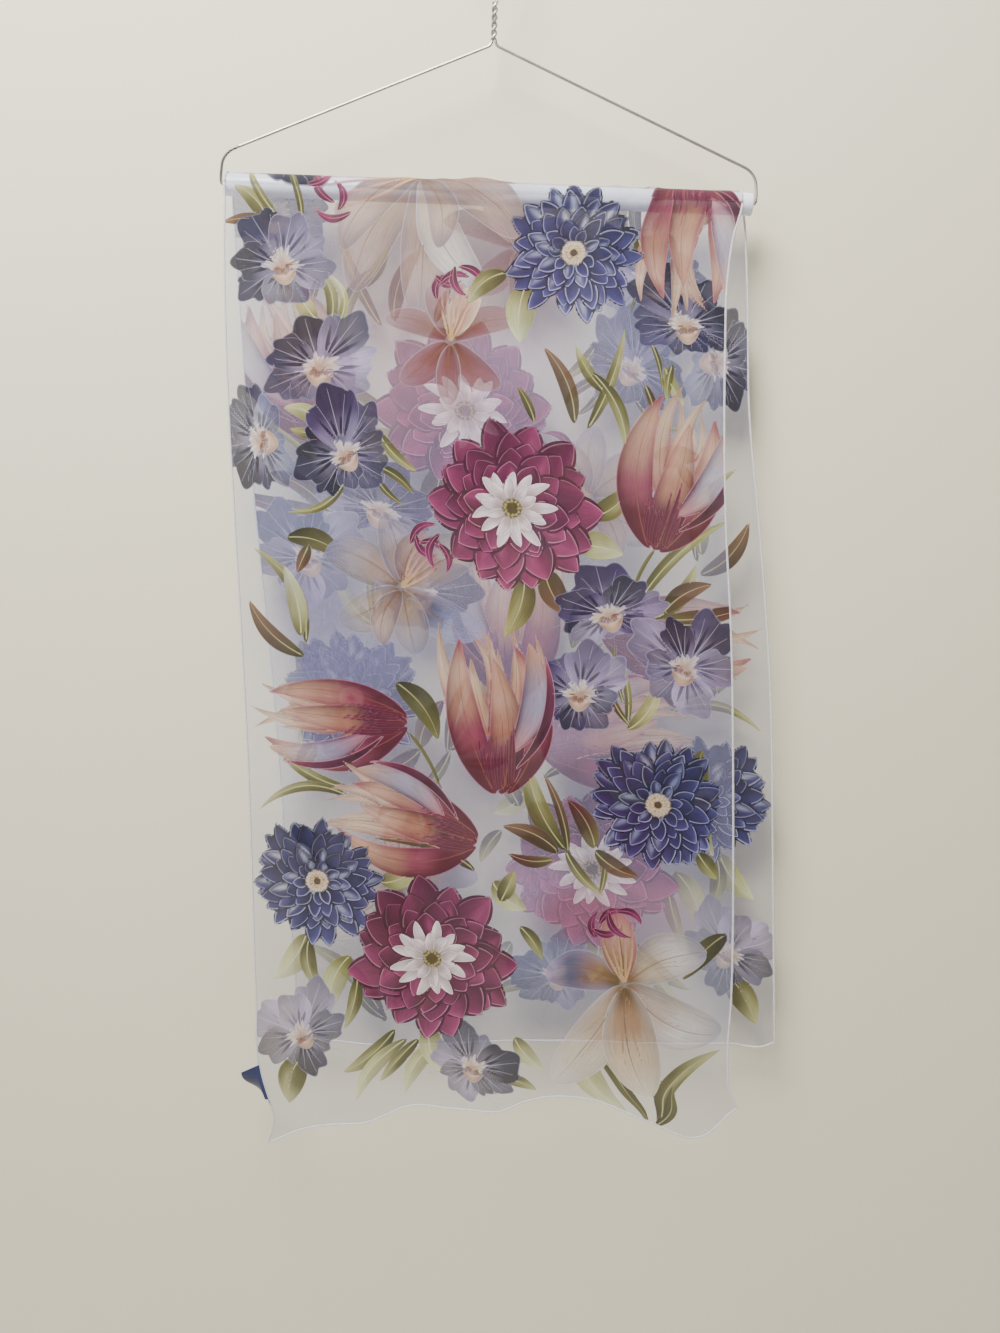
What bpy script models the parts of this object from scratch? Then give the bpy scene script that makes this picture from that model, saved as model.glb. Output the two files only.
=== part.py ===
"""Printed chiffon scarf laid over the round bar of a wire strut hanger.

Metres, +Z up, +X along the bar, the longer drop of the scarf at -Y. The origin is the
inside of the hook's crown, where a rail carries the hanger. The scarf is one rectangle of
cloth in three stretches: the front drop, the turn over the bar and the back drop.
"""

import math

import bpy
import numpy as np

# Hanger.
BAR_LENGTH = 0.406
BAR_RADIUS = 0.0085
BAR_TILT = math.radians(2.1)
WIRE_RADIUS = 0.00115
HOOK_INNER_RADIUS = 0.019
HOOK_TO_BAR = 0.200
NECK_LENGTH = 0.028
NECK_BEND = 0.005
NECK_TURNS = 2.5
SHOULDER_SLOPE = math.radians(23.0)
SHOULDER_BEND = 0.016
END_BEND = 0.003
END_RISE = 0.004
END_LEAN = 0.0004
BORE_DEPTH = 0.014
BAR_EDGE = 0.0008
BAR_SIDES = 28
HOOK_STARTS = -48
HOOK_ENDS = 205

# Cloth.
CLOTH_WALL = 0.001
HEM_WALL = 0.002
HEM_WIDTH = 0.0025
SEAM_GAP = 0.0006
TOUCH_GAP = 0.0003
SCARF_LEFT = -0.2015
SCARF_RIGHT = 0.1935
HANG_IN = 0.0015
CREASE_FADE = 0.060

LABEL_WIDTH = 0.0155
LABEL_LENGTH = 0.030
LABEL_WALL = 0.001
LABEL_LAP = 0.002
LABEL_TOP = 0.693
LABEL_STRAIGHT = 0.0035
LABEL_TURNS = (math.radians(-8.0), math.radians(76.0))
LABEL_SLANT = 0.0062

# Side edges of each drop: how far below the middle of the bar, left edge, right edge (mm).
FRONT_SIDES = (
    (-10, -208, 186.5),
    (8, -208, 187.5),
    (33, -209, 181),
    (62, -209.5, 177.5),
    (120, -209.5, 176.5),
    (250, -206, 179.5),
    (330, -203, 185),
    (440, -200, 189),
    (640, -197.5, 192),
    (700, -195.5, 190.5),
    (722, -189.5, 193),
    (735, -185, 200),
    (765, -190.5, 206),
)
BACK_SIDES = (
    (-10, -205, 187.5),
    (14, -205, 192),
    (60, -203, 195.5),
    (165, -198, 199.5),
    (280, -190, 212),
    (350, -184, 218.5),
    (550, -172, 227),
    (700, -164, 232),
)

# Lower hems: share of the width from the left, how far below the middle of the bar (mm).
FRONT_HEM = (
    (0.0, 761),
    (0.07, 750),
    (0.2, 744),
    (0.28, 732),
    (0.4, 733.5),
    (0.49, 734.5),
    (0.55, 726),
    (0.7, 727),
    (0.8, 744),
    (0.915, 756),
    (0.965, 742),
    (1.0, 733.5),
)
BACK_HEM = (
    (0.0, 678),
    (0.2, 686),
    (0.45, 680),
    (0.7, 684),
    (0.9, 684),
    (0.95, 687),
    (1.0, 682),
)

# Creases: x where it starts and ends, drop where it starts and ends, half width, and how
# far it stands out where it starts and ends (mm). Those that start at 0 leave the bar.
FRONT_CREASES = (
    (-14, 52, 0, 120, 17, 4.5, 0.5),
    (-42, -6, 0, 70, 7, 1.5, 0.3),
    (92, 84, 0, 60, 6, 1.6, 0.2),
    (119, 123, 0, 85, 6, 1.8, 0.3),
    (176, 168, 70, 330, 9, -1.5, 1.5),
    (-120, -96, 260, 765, 26, 0.5, 3.0),
    (-60, -72, 420, 765, 20, -0.4, -2.8),
    (30, 18, 300, 765, 26, 0.6, 3.2),
    (88, 70, 420, 765, 24, -0.3, -2.6),
    (150, 150, 380, 765, 22, 0.5, 3.4),
    (186, 197, 520, 765, 12, -0.3, -3.4),
    (-192, -186, 620, 765, 9, 0.4, 3.0),
)
BACK_CREASES = (
    (-70, -60, 0, 90, 14, 2.4, 0.4),
    (182, 205, 0, 690, 10, 1.2, 3.2),
    (205, 223, 200, 690, 8, -0.5, -2.4),
    (-130, -90, 160, 690, 24, 0.5, 3.2),
    (-30, 0, 240, 690, 26, -0.5, -2.8),
    (70, 92, 120, 690, 22, 0.5, 3.0),
    (140, 160, 260, 690, 18, -0.4, -2.4),
)

# Grid of each stretch.
COLUMNS = 22
FRONT_ROWS = 34
BACK_ROWS = 30
TURN_ROWS = 10

BAR_X = -(HOOK_TO_BAR - HOOK_INNER_RADIUS) * math.sin(BAR_TILT)
BAR_Z = -HOOK_INNER_RADIUS - (HOOK_TO_BAR - HOOK_INNER_RADIUS) * math.cos(BAR_TILT)
CLOTH_RADIUS = BAR_RADIUS + TOUCH_GAP + CLOTH_WALL / 2
STRAND_RADIUS = WIRE_RADIUS + 0.6 * TOUCH_GAP


def material(name, colour, roughness, metallic=0.0):
    made = bpy.data.materials.new(name)
    made.use_nodes = True
    shader = made.node_tree.nodes["Principled BSDF"]
    shader.inputs["Base Color"].default_value = (*colour, 1.0)
    shader.inputs["Roughness"].default_value = roughness
    shader.inputs["Metallic"].default_value = metallic
    return made


def clear_scene():
    for old in list(bpy.data.objects):
        bpy.data.objects.remove(old, do_unlink=True)


def add_object(name, data, finish, parent=None):
    made = bpy.data.objects.new(name, data)
    bpy.context.scene.collection.objects.link(made)
    data.materials.append(finish)
    made.parent = parent
    return made


def through(keys, values, at):
    """A smooth curve through the rows of a table: cubic pieces with matching slopes."""
    keys = np.asarray(keys, float)
    values = np.asarray(values, float)
    slopes = np.gradient(values, keys)
    at = np.clip(at, keys[0], keys[-1])
    row = np.clip(np.searchsorted(keys, at, side="right") - 1, 0, len(keys) - 2)
    step = keys[row + 1] - keys[row]
    t = (at - keys[row]) / step
    first = (1 + 2 * t) * (1 - t) ** 2 * values[row] + t * (1 - t) ** 2 * step * slopes[row]
    last = t**2 * (3 - 2 * t) * values[row + 1] - t**2 * (1 - t) * step * slopes[row + 1]
    return first + last


def ease(t):
    t = np.clip(t, 0.0, 1.0)
    return t * t * (3 - 2 * t)


def bar_height(x):
    """Height of the bar's middle line at x."""
    return BAR_Z - (x - BAR_X) * math.tan(BAR_TILT)


def side_edges(sides, z):
    """x of the left and right edge of a drop at height z."""
    drop, left, right = (np.array(column) / 1000 for column in zip(*sides))
    below = BAR_Z - z
    return through(drop, left, below), through(drop, right, below)


def standing_out(creases, x, drop):
    """How far the creases lift the cloth off its hanging plane at x, this far below the bar."""
    total = np.zeros(np.broadcast(x, drop).shape)
    for row in creases:
        x_top, x_low, start, end, half_width, out_top, out_low = (value / 1000 for value in row)
        along = np.clip((drop - start) / (end - start), 0.0, 1.0)
        middle = x_top + (x_low - x_top) * along
        height = out_top + (out_low - out_top) * ease(along)
        shown = 1 - ease((drop - end) / CREASE_FADE)
        if start > 0:
            shown = shown * ease((drop - start + CREASE_FADE) / CREASE_FADE)
        total += height * shown * np.exp(-(((x - middle) / half_width) ** 2))
    return total


def hanging_depth(creases, x, drop):
    """Distance of the cloth's middle surface from the plane through the bar's middle line."""
    hang = CLOTH_RADIUS - HANG_IN * ease(drop / 0.5)
    return hang + standing_out(creases, x, drop)


def shares(count, width):
    """Shares of the width for the columns, with a narrow hem band at both ends."""
    band = HEM_WIDTH / width
    return np.concatenate([[0.0, band], np.linspace(0.0, 1.0, count + 1)[1:-1], [1 - band, 1.0]])


def hem_lift(columns):
    """Extra distance from the bar that the bead along each side hem needs, for each column."""
    lift = np.zeros(columns)
    lift[[0, 1, -2, -1]] = (HEM_WALL - CLOTH_WALL) / 2
    return lift


def drop_points(sides, hem, creases, facing, rows):
    """Middle surface of one drop as a (rows, columns, 3) array. facing is -1 in front."""
    across = shares(COLUMNS, SCARF_RIGHT - SCARF_LEFT)[None, :]
    start_x = SCARF_LEFT + (SCARF_RIGHT - SCARF_LEFT) * across + BAR_X
    top = bar_height(start_x) - SEAM_GAP / 2
    share, drop = (np.array(column, float) for column in zip(*hem))
    foot = BAR_Z - through(share, drop / 1000, across)
    last_band = 1 - HEM_WIDTH / np.mean(drop / 1000)
    down = np.concatenate([np.linspace(0.0, 1.0, rows)[:-1] * last_band, [last_band, 1.0]])
    z = top + (foot - top) * down[:, None]
    left, right = side_edges(sides, z)
    x = left + (right - left) * across
    depth = hanging_depth(creases, x, bar_height(x) - z) + hem_lift(x.shape[1])
    return np.stack([x, facing * depth, z], axis=-1)


def turn_points():
    """Middle surface of the cloth over the bar, from its front edge round to its back edge."""
    across = shares(COLUMNS, SCARF_RIGHT - SCARF_LEFT)[None, :]
    angle = np.linspace(0.0, math.pi, TURN_ROWS + 1)[:, None]
    front_x = side_edges(FRONT_SIDES, bar_height(SCARF_LEFT))
    back_x = side_edges(BACK_SIDES, bar_height(SCARF_LEFT))
    blend = (1 - np.cos(angle)) / 2
    left = front_x[0] + (back_x[0] - front_x[0]) * blend
    right = front_x[1] + (back_x[1] - front_x[1]) * blend
    x = left + (right - left) * across
    front = standing_out(FRONT_CREASES, x, 0.0)
    back = standing_out(BACK_CREASES, x, 0.0)
    radius = CLOTH_RADIUS + hem_lift(x.shape[1]) + front + (back - front) * blend
    y = -radius * np.cos(angle)
    z = bar_height(x) + radius * np.sin(angle) + SEAM_GAP / 2
    return np.stack([x, y, z], axis=-1)


def sheet_mesh(name, points):
    """A grid of quads through a (rows, columns, 3) array of points."""
    rows, columns = points.shape[:2]
    corner = (np.arange(rows - 1)[:, None] * columns + np.arange(columns - 1)[None, :]).ravel()
    quads = corner[:, None] + np.array([0, 1, columns + 1, columns])[None, :]
    mesh = bpy.data.meshes.new(name)
    mesh.from_pydata(points.reshape(-1, 3).tolist(), [], quads.tolist())
    mesh.shade_smooth()
    return mesh


def add_wall(sheet, thickness):
    wall = sheet.modifiers.new("wall", "SOLIDIFY")
    wall.thickness = thickness
    wall.offset = 0.0
    return wall


def add_cloth(name, points, hemmed, finish):
    """A stretch of the scarf: 1 mm of cloth with the rolled hem as a bead along its free edges."""
    sheet = add_object(name, sheet_mesh(name, points), finish)
    rows, columns = points.shape[:2]
    index = np.arange(rows * columns).reshape(rows, columns)
    inner = index[: rows - 2 if hemmed else rows, 2:-2]
    body = sheet.vertex_groups.new(name="wall")
    body.add(index.ravel().tolist(), 1.0, "REPLACE")
    body.add(inner.ravel().tolist(), CLOTH_WALL / HEM_WALL, "REPLACE")
    wall = add_wall(sheet, HEM_WALL)
    wall.vertex_group = body.name
    return sheet


def add_scarf(finish):
    front = drop_points(FRONT_SIDES, FRONT_HEM, FRONT_CREASES, -1, FRONT_ROWS)
    back = drop_points(BACK_SIDES, BACK_HEM, BACK_CREASES, 1, BACK_ROWS)
    add_cloth("scarf_front_drop", front[:, ::-1], True, finish)
    add_cloth("scarf_over_bar", turn_points(), False, finish)
    add_cloth("scarf_back_drop", back, True, finish)


def add_label(finish):
    """A label lapped on the left hem of the front drop. Past the hem its foot is turned in."""
    down = np.linspace(0.0, 1.0, 7)[:, None]
    free = np.linspace(0.0, LABEL_WIDTH - LABEL_STRAIGHT, 5)
    out = np.concatenate([[0.0], LABEL_STRAIGHT + free])[None, :]
    z = BAR_Z - LABEL_TOP - LABEL_LENGTH * down
    edge = side_edges(FRONT_SIDES, z)[0] + LABEL_LAP
    lap = hanging_depth(FRONT_CREASES, edge, bar_height(edge) - z)
    lap = lap + HEM_WALL + LABEL_WALL / 2 + TOUCH_GAP
    turn = LABEL_TURNS[0] + (LABEL_TURNS[1] - LABEL_TURNS[0]) * ease(down)
    straight = np.minimum(out, LABEL_STRAIGHT)
    x = edge - straight - (out - straight) * np.cos(turn)
    y = -lap + (out - straight) * np.sin(turn)
    z = z - LABEL_SLANT * (1 - down) * out / LABEL_WIDTH
    label = np.stack([x, y, z], axis=-1)
    add_wall(add_object("label", sheet_mesh("label", label[:, ::-1]), finish), LABEL_WALL)


def wire_curve(name, path):
    """A round wire along a list of points."""
    curve = bpy.data.curves.new(name, "CURVE")
    curve.dimensions = "3D"
    curve.bevel_depth = WIRE_RADIUS
    curve.bevel_resolution = 2
    curve.use_fill_caps = True
    line = curve.splines.new("POLY")
    line.points.add(len(path) - 1)
    line.points.foreach_set("co", np.column_stack([path, np.ones(len(path))]).ravel())
    return curve


def arc(centre, radius, start, end, count):
    """Points of an arc in the XZ plane, angles in degrees from +X."""
    angle = np.radians(np.linspace(start, end, count))
    x = centre[0] + radius * np.cos(angle)
    z = centre[1] + radius * np.sin(angle)
    return np.column_stack([x, np.zeros(count), z])


def shoulder_path(side):
    """From inside the bar's end, up past its rim, in along the slope and up into the neck."""
    slope = math.degrees(SHOULDER_SLOPE)
    end = BAR_LENGTH / 2
    start = np.array([[end - BORE_DEPTH + TOUCH_GAP, 0.0, 0.0]])
    foot = arc((end, END_BEND), END_BEND, -90, 0, 5)
    rim = foot[-1] + np.array([[0.0, 0.0, BAR_RADIUS - END_BEND], [-END_LEAN, 0.0, BAR_RADIUS]])
    rim[-1, 2] += END_RISE - END_BEND
    bend = arc((rim[-1, 0] - SHOULDER_BEND, rim[-1, 2]), SHOULDER_BEND, 12, 90 - slope, 7)
    neck = arc((STRAND_RADIUS + NECK_BEND, 0.0), NECK_BEND, -90 - slope, -180, 7)
    neck[:, 2] += bend[-1, 2] - neck[0, 2]
    neck[:, 2] += (bend[-1, 0] - neck[0, 0]) * math.tan(SHOULDER_SLOPE)
    path = np.concatenate([start, foot, rim, bend, neck])
    path[:, 2] -= HOOK_TO_BAR
    path[:, 0] *= side
    return path


def neck_strand(foot, phase, rise):
    """One of the two strands wound round each other, going on from a shoulder's inner end."""
    share = np.linspace(0.0, 1.0, int(NECK_TURNS * 12) + 1)[1:]
    angle = phase + 2 * math.pi * NECK_TURNS * share
    x = STRAND_RADIUS * np.cos(angle)
    y = STRAND_RADIUS * np.sin(angle)
    wound = np.column_stack([x, y, foot + rise * share])
    return np.concatenate([wound, wound[-1:] + [0.0, 0.0, 2 * WIRE_RADIUS]])


def hook_path(first):
    """From the top of the neck out to the right, over the crown and down to the tip."""
    centre = (0.0, -HOOK_INNER_RADIUS)
    crown = arc(centre, HOOK_INNER_RADIUS + WIRE_RADIUS, HOOK_STARTS, HOOK_ENDS, 26)
    share = np.linspace(0.0, 1.0, 9)[:-1, None]
    rise = first + (crown[0] - first) * share
    rise[:, 0] = first[0] + (crown[0, 0] - first[0]) * share[:, 0] ** 2
    return np.concatenate([rise, crown])


def bar_profile():
    """Half outline of the bar along X, from one blind wire hole's floor to the other's."""
    half = BAR_LENGTH / 2
    hole = WIRE_RADIUS + TOUCH_GAP
    outline = [
        (half - BORE_DEPTH, 0.0),
        (half - BORE_DEPTH, hole),
        (half, hole),
        (half, BAR_RADIUS - BAR_EDGE),
        (half - BAR_EDGE, BAR_RADIUS),
    ]
    points = outline + [(-x, radius) for x, radius in reversed(outline)]
    mesh = bpy.data.meshes.new("hanger_bar")
    edges = [(k, k + 1) for k in range(len(points) - 1)]
    mesh.from_pydata([(x, 0.0, radius) for x, radius in points], edges, [])
    return mesh


def add_bar(finish, tilt):
    bar = add_object("hanger_bar", bar_profile(), finish, tilt)
    bar.location = (0.0, 0.0, HOOK_INNER_RADIUS - HOOK_TO_BAR)
    turned = bar.modifiers.new("turned", "SCREW")
    turned.axis = "X"
    turned.steps = BAR_SIDES
    turned.render_steps = BAR_SIDES
    turned.use_merge_vertices = True
    turned.merge_threshold = 0.00001
    turned.use_smooth_shade = True


def add_hanger(tube_finish, wire_finish):
    tilt = bpy.data.objects.new("hanger_tilt", None)
    bpy.context.scene.collection.objects.link(tilt)
    tilt.location = (0.0, 0.0, -HOOK_INNER_RADIUS)
    tilt.rotation_euler = (0.0, BAR_TILT, 0.0)
    add_bar(tube_finish, tilt)

    left = shoulder_path(-1)
    right = shoulder_path(1)
    foot = left[-1, 2]
    strand_left = neck_strand(foot, math.pi, NECK_LENGTH)
    strand_right = neck_strand(foot, 0.0, NECK_LENGTH)[:-1]
    wires = (
        ("shoulder_wire_left", np.concatenate([left, strand_left])),
        ("shoulder_wire_right", np.concatenate([right, strand_right])),
        ("hook_wire", hook_path(strand_left[-1] + np.array([0.0, 0.0, TOUCH_GAP]))),
    )
    for name, path in wires:
        wire = add_object(name, wire_curve(name, path), wire_finish, tilt)
        wire.location = (0.0, 0.0, HOOK_INNER_RADIUS)


def main():
    clear_scene()
    add_hanger(
        material("tube_white", (0.82, 0.83, 0.87), 0.35),
        material("wire_steel", (0.25, 0.25, 0.24), 0.35, 1.0),
    )
    add_scarf(material("chiffon", (0.78, 0.76, 0.80), 0.8))
    add_label(material("label_satin", (0.008, 0.01, 0.045), 0.4))


main()
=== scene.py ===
"""Looks of a printed chiffon scarf laid over the round bar of a wire strut hanger.

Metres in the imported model's frame: +X along the bar, -Y to the front, +Z up, origin inside the
hook's crown. The print is drawn in the cloth's own flat millimetres: "across" from the middle
of its width, and "along" down the front drop from the bar, which goes below zero over the bar
and on down the back drop.
"""

import logging
import math
from dataclasses import dataclass, field
from enum import Enum
from typing import Any, NamedTuple

import bmesh
import bpy
import numpy as np
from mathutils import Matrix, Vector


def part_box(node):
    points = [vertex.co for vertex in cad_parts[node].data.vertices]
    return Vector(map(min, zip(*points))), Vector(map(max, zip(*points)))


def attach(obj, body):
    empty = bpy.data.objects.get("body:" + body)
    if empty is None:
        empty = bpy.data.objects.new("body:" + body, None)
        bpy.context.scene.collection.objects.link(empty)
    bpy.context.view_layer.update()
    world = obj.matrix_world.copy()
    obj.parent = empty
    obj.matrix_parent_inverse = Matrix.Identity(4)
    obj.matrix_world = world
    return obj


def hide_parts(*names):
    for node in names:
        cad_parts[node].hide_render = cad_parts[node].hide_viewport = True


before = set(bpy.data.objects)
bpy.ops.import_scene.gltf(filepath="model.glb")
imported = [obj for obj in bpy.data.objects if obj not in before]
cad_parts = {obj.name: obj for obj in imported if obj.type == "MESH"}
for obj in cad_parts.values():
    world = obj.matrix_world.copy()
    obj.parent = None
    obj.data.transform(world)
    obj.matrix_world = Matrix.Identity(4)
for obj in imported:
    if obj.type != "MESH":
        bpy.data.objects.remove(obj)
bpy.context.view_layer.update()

LOG = logging.getLogger("scarf")
MM = 0.001
TAU = 2.0 * math.pi
BAR_TILT = math.radians(2.1)

Array = np.ndarray
Random = np.random.Generator
Material = bpy.types.Material
Mesh = bpy.types.Mesh
Piece = bpy.types.Object
Point = tuple[float, float]
Window = tuple[slice, slice]


# ---- small mathematics


def through(keys: Array, values: Array, at: Array) -> Array:
    """A smooth curve through a table: cubic pieces whose slopes match where they meet.

    Args:
        keys: Rising positions of the rows.
        values: The value at each row.
        at: Positions to read, held inside the table's ends.

    Returns:
        The curve's value at each position.
    """
    slopes = np.gradient(values, keys)
    at = np.clip(at, keys[0], keys[-1])
    row = np.clip(np.searchsorted(keys, at, side="right") - 1, 0, len(keys) - 2)
    step = keys[row + 1] - keys[row]
    t = (at - keys[row]) / step
    first = (1 + 2 * t) * (1 - t) ** 2 * values[row] + t * (1 - t) ** 2 * step * slopes[row]
    last = t**2 * (3 - 2 * t) * values[row + 1] - t**2 * (1 - t) * step * slopes[row + 1]
    return first + last


def ease(t: Array | float) -> Array:
    """Smooth step: 0 up to t = 0, 1 from t = 1, three t squared less two t cubed between."""
    t = np.clip(t, 0.0, 1.0)
    return t * t * (3 - 2 * t)


def blend(first: Array, second: Array, share: Array | float) -> Array:
    """The first value where share is 0, the second where it is 1."""
    return first + (second - first) * share


# ---- meshes


def new_mesh_object(name: str, points: Array, quads: Array) -> Piece:
    """Make a smooth-shaded mesh object at the origin.

    Args:
        name: The piece's name.
        points: (n, 3) vertices in metres.
        quads: (m, 4) vertex numbers, anticlockwise from outside.

    Returns:
        The object, linked to the scene.
    """
    mesh = bpy.data.meshes.new(name)
    mesh.vertices.add(len(points))
    mesh.vertices.foreach_set("co", np.ascontiguousarray(points, np.float32).ravel())
    mesh.loops.add(quads.size)
    mesh.loops.foreach_set("vertex_index", np.ascontiguousarray(quads, np.int32).ravel())
    mesh.polygons.add(len(quads))
    mesh.polygons.foreach_set("loop_start", np.arange(0, quads.size, 4, dtype=np.int32))
    mesh.update(calc_edges=True)
    mesh.validate()
    mesh.shade_smooth()
    made = bpy.data.objects.new(name, mesh)
    bpy.context.scene.collection.objects.link(made)
    return made


def grid_quads(rows: int, columns: int, wrap: bool = False) -> Array:
    """Vertex numbers of the quads of a grid stored row by row.

    Args:
        rows: Rows of vertices.
        columns: Columns of vertices.
        wrap: Join the last column to the first.

    Returns:
        (m, 4) vertex numbers: a row's edge first, then on to the next row.
    """
    across = columns if wrap else columns - 1
    row = np.arange(rows - 1)[:, None] * columns
    here = np.arange(across)[None, :]
    beside = (here + 1) % columns
    corners = [row + here, row + beside, row + columns + beside, row + columns + here]
    return np.stack(corners, axis=-1).reshape(-1, 4)


def write_uv(mesh: Mesh, corners: Array) -> None:
    """Store flat coordinates, (loops, 2) from 0 to 1, as the piece's one UV map."""
    layer = mesh.uv_layers.new(name="OFBake")
    layer.data.foreach_set("uv", np.ascontiguousarray(corners, np.float32).ravel())


STORED = {"FLOAT_COLOR": "color", "FLOAT": "value", "FLOAT_VECTOR": "vector"}


def store(mesh: Mesh, name: str, kind: str, domain: str, values: Array) -> None:
    """Write an array to the mesh as an attribute of this kind, on its points or corners."""
    layer = mesh.attributes.new(name, kind, domain)
    layer.data.foreach_set(STORED[kind], np.ascontiguousarray(values, np.float32).ravel())


def dress(piece: Piece, finish: Material, node: str = "") -> None:
    """Give a piece its finish and slot, fix it to the body and hide the imported node it stands for."""
    piece.data.materials.append(finish)
    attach(piece, "root")
    if node:
        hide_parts(node)


def tube(name: str, path: Array, radius: Array, sides: int) -> Piece:
    """A round tube with closed ends along a path.

    A ring is the path's point plus radius times (cosine of the angle times one normal, plus
    sine times the other), where both normals stand square on the path's direction.

    Args:
        name: The piece's name.
        path: (n, 3) points.
        radius: (n,) radius at each point.
        sides: Sides of each ring.

    Returns:
        The tube.
    """
    ahead = np.gradient(path, axis=0)
    ahead /= np.linalg.norm(ahead, axis=1, keepdims=True)
    reference = np.where(np.abs(ahead[:, 1:2]) > 0.9, [[1.0, 0.0, 0.0]], [[0.0, 1.0, 0.0]])
    side = np.cross(reference, ahead)
    side /= np.linalg.norm(side, axis=1, keepdims=True)
    other = np.cross(ahead, side)
    angle = np.linspace(0.0, TAU, sides, endpoint=False)[None, :, None]
    rings = side[:, None] * np.cos(angle) + other[:, None] * np.sin(angle)
    rings = path[:, None] + rings * radius[:, None, None]
    ends = np.repeat(path[[0, -1], None], sides, axis=1)
    points = np.concatenate([ends[:1], rings, ends[1:]])
    made = new_mesh_object(name, points.reshape(-1, 3), grid_quads(len(points), sides, wrap=True))
    weld(made)
    return made


def weld(made: Piece) -> None:
    """Merge points that coincide and turn all faces outwards."""
    shape = bmesh.new()
    shape.from_mesh(made.data)
    bmesh.ops.remove_doubles(shape, verts=shape.verts, dist=1e-6)
    bmesh.ops.recalc_face_normals(shape, faces=shape.faces)
    shape.to_mesh(made.data)
    shape.free()
    made.data.shade_smooth()


# ---- shader graphs


class Value:
    """A number in a shader graph. Arithmetic on it adds Math nodes."""

    def __init__(self, graph: "Graph", socket: Any) -> None:
        """Wrap an output socket of a graph."""
        self.graph = graph
        self.socket = socket

    def _math(self, operation: str, *terms: Any, clamp: bool = False) -> "Value":
        """Add one Math node over the terms, sockets or plain numbers."""
        settings = {"operation": operation, "use_clamp": clamp}
        made = self.graph.node("ShaderNodeMath", settings, dict(enumerate(terms)))
        return Value(self.graph, made.outputs[0])

    def __add__(self, other: Any) -> "Value":
        """Sum."""
        return self._math("ADD", self, other)

    __radd__ = __add__

    def __sub__(self, other: Any) -> "Value":
        """Difference."""
        return self._math("SUBTRACT", self, other)

    def __rsub__(self, other: Any) -> "Value":
        """Difference from a plain number."""
        return self._math("SUBTRACT", other, self)

    def __mul__(self, other: Any) -> "Value":
        """Product."""
        return self._math("MULTIPLY", self, other)

    __rmul__ = __mul__

    def __truediv__(self, other: Any) -> "Value":
        """Quotient."""
        return self._math("DIVIDE", self, other)

    def __pow__(self, other: float) -> "Value":
        """Power."""
        return self._math("POWER", self, other)

    def sine(self) -> "Value":
        """Sine."""
        return self._math("SINE", self)

    def size(self) -> "Value":
        """Distance from zero."""
        return self._math("ABSOLUTE", self)

    def clamped(self) -> "Value":
        """Held between 0 and 1."""
        return self._math("ADD", self, 0.0, clamp=True)

    def above(self, low: float, high: float) -> "Value":
        """0 below low, 1 above high, straight between."""
        return ((self - low) / (high - low)).clamped()


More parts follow.
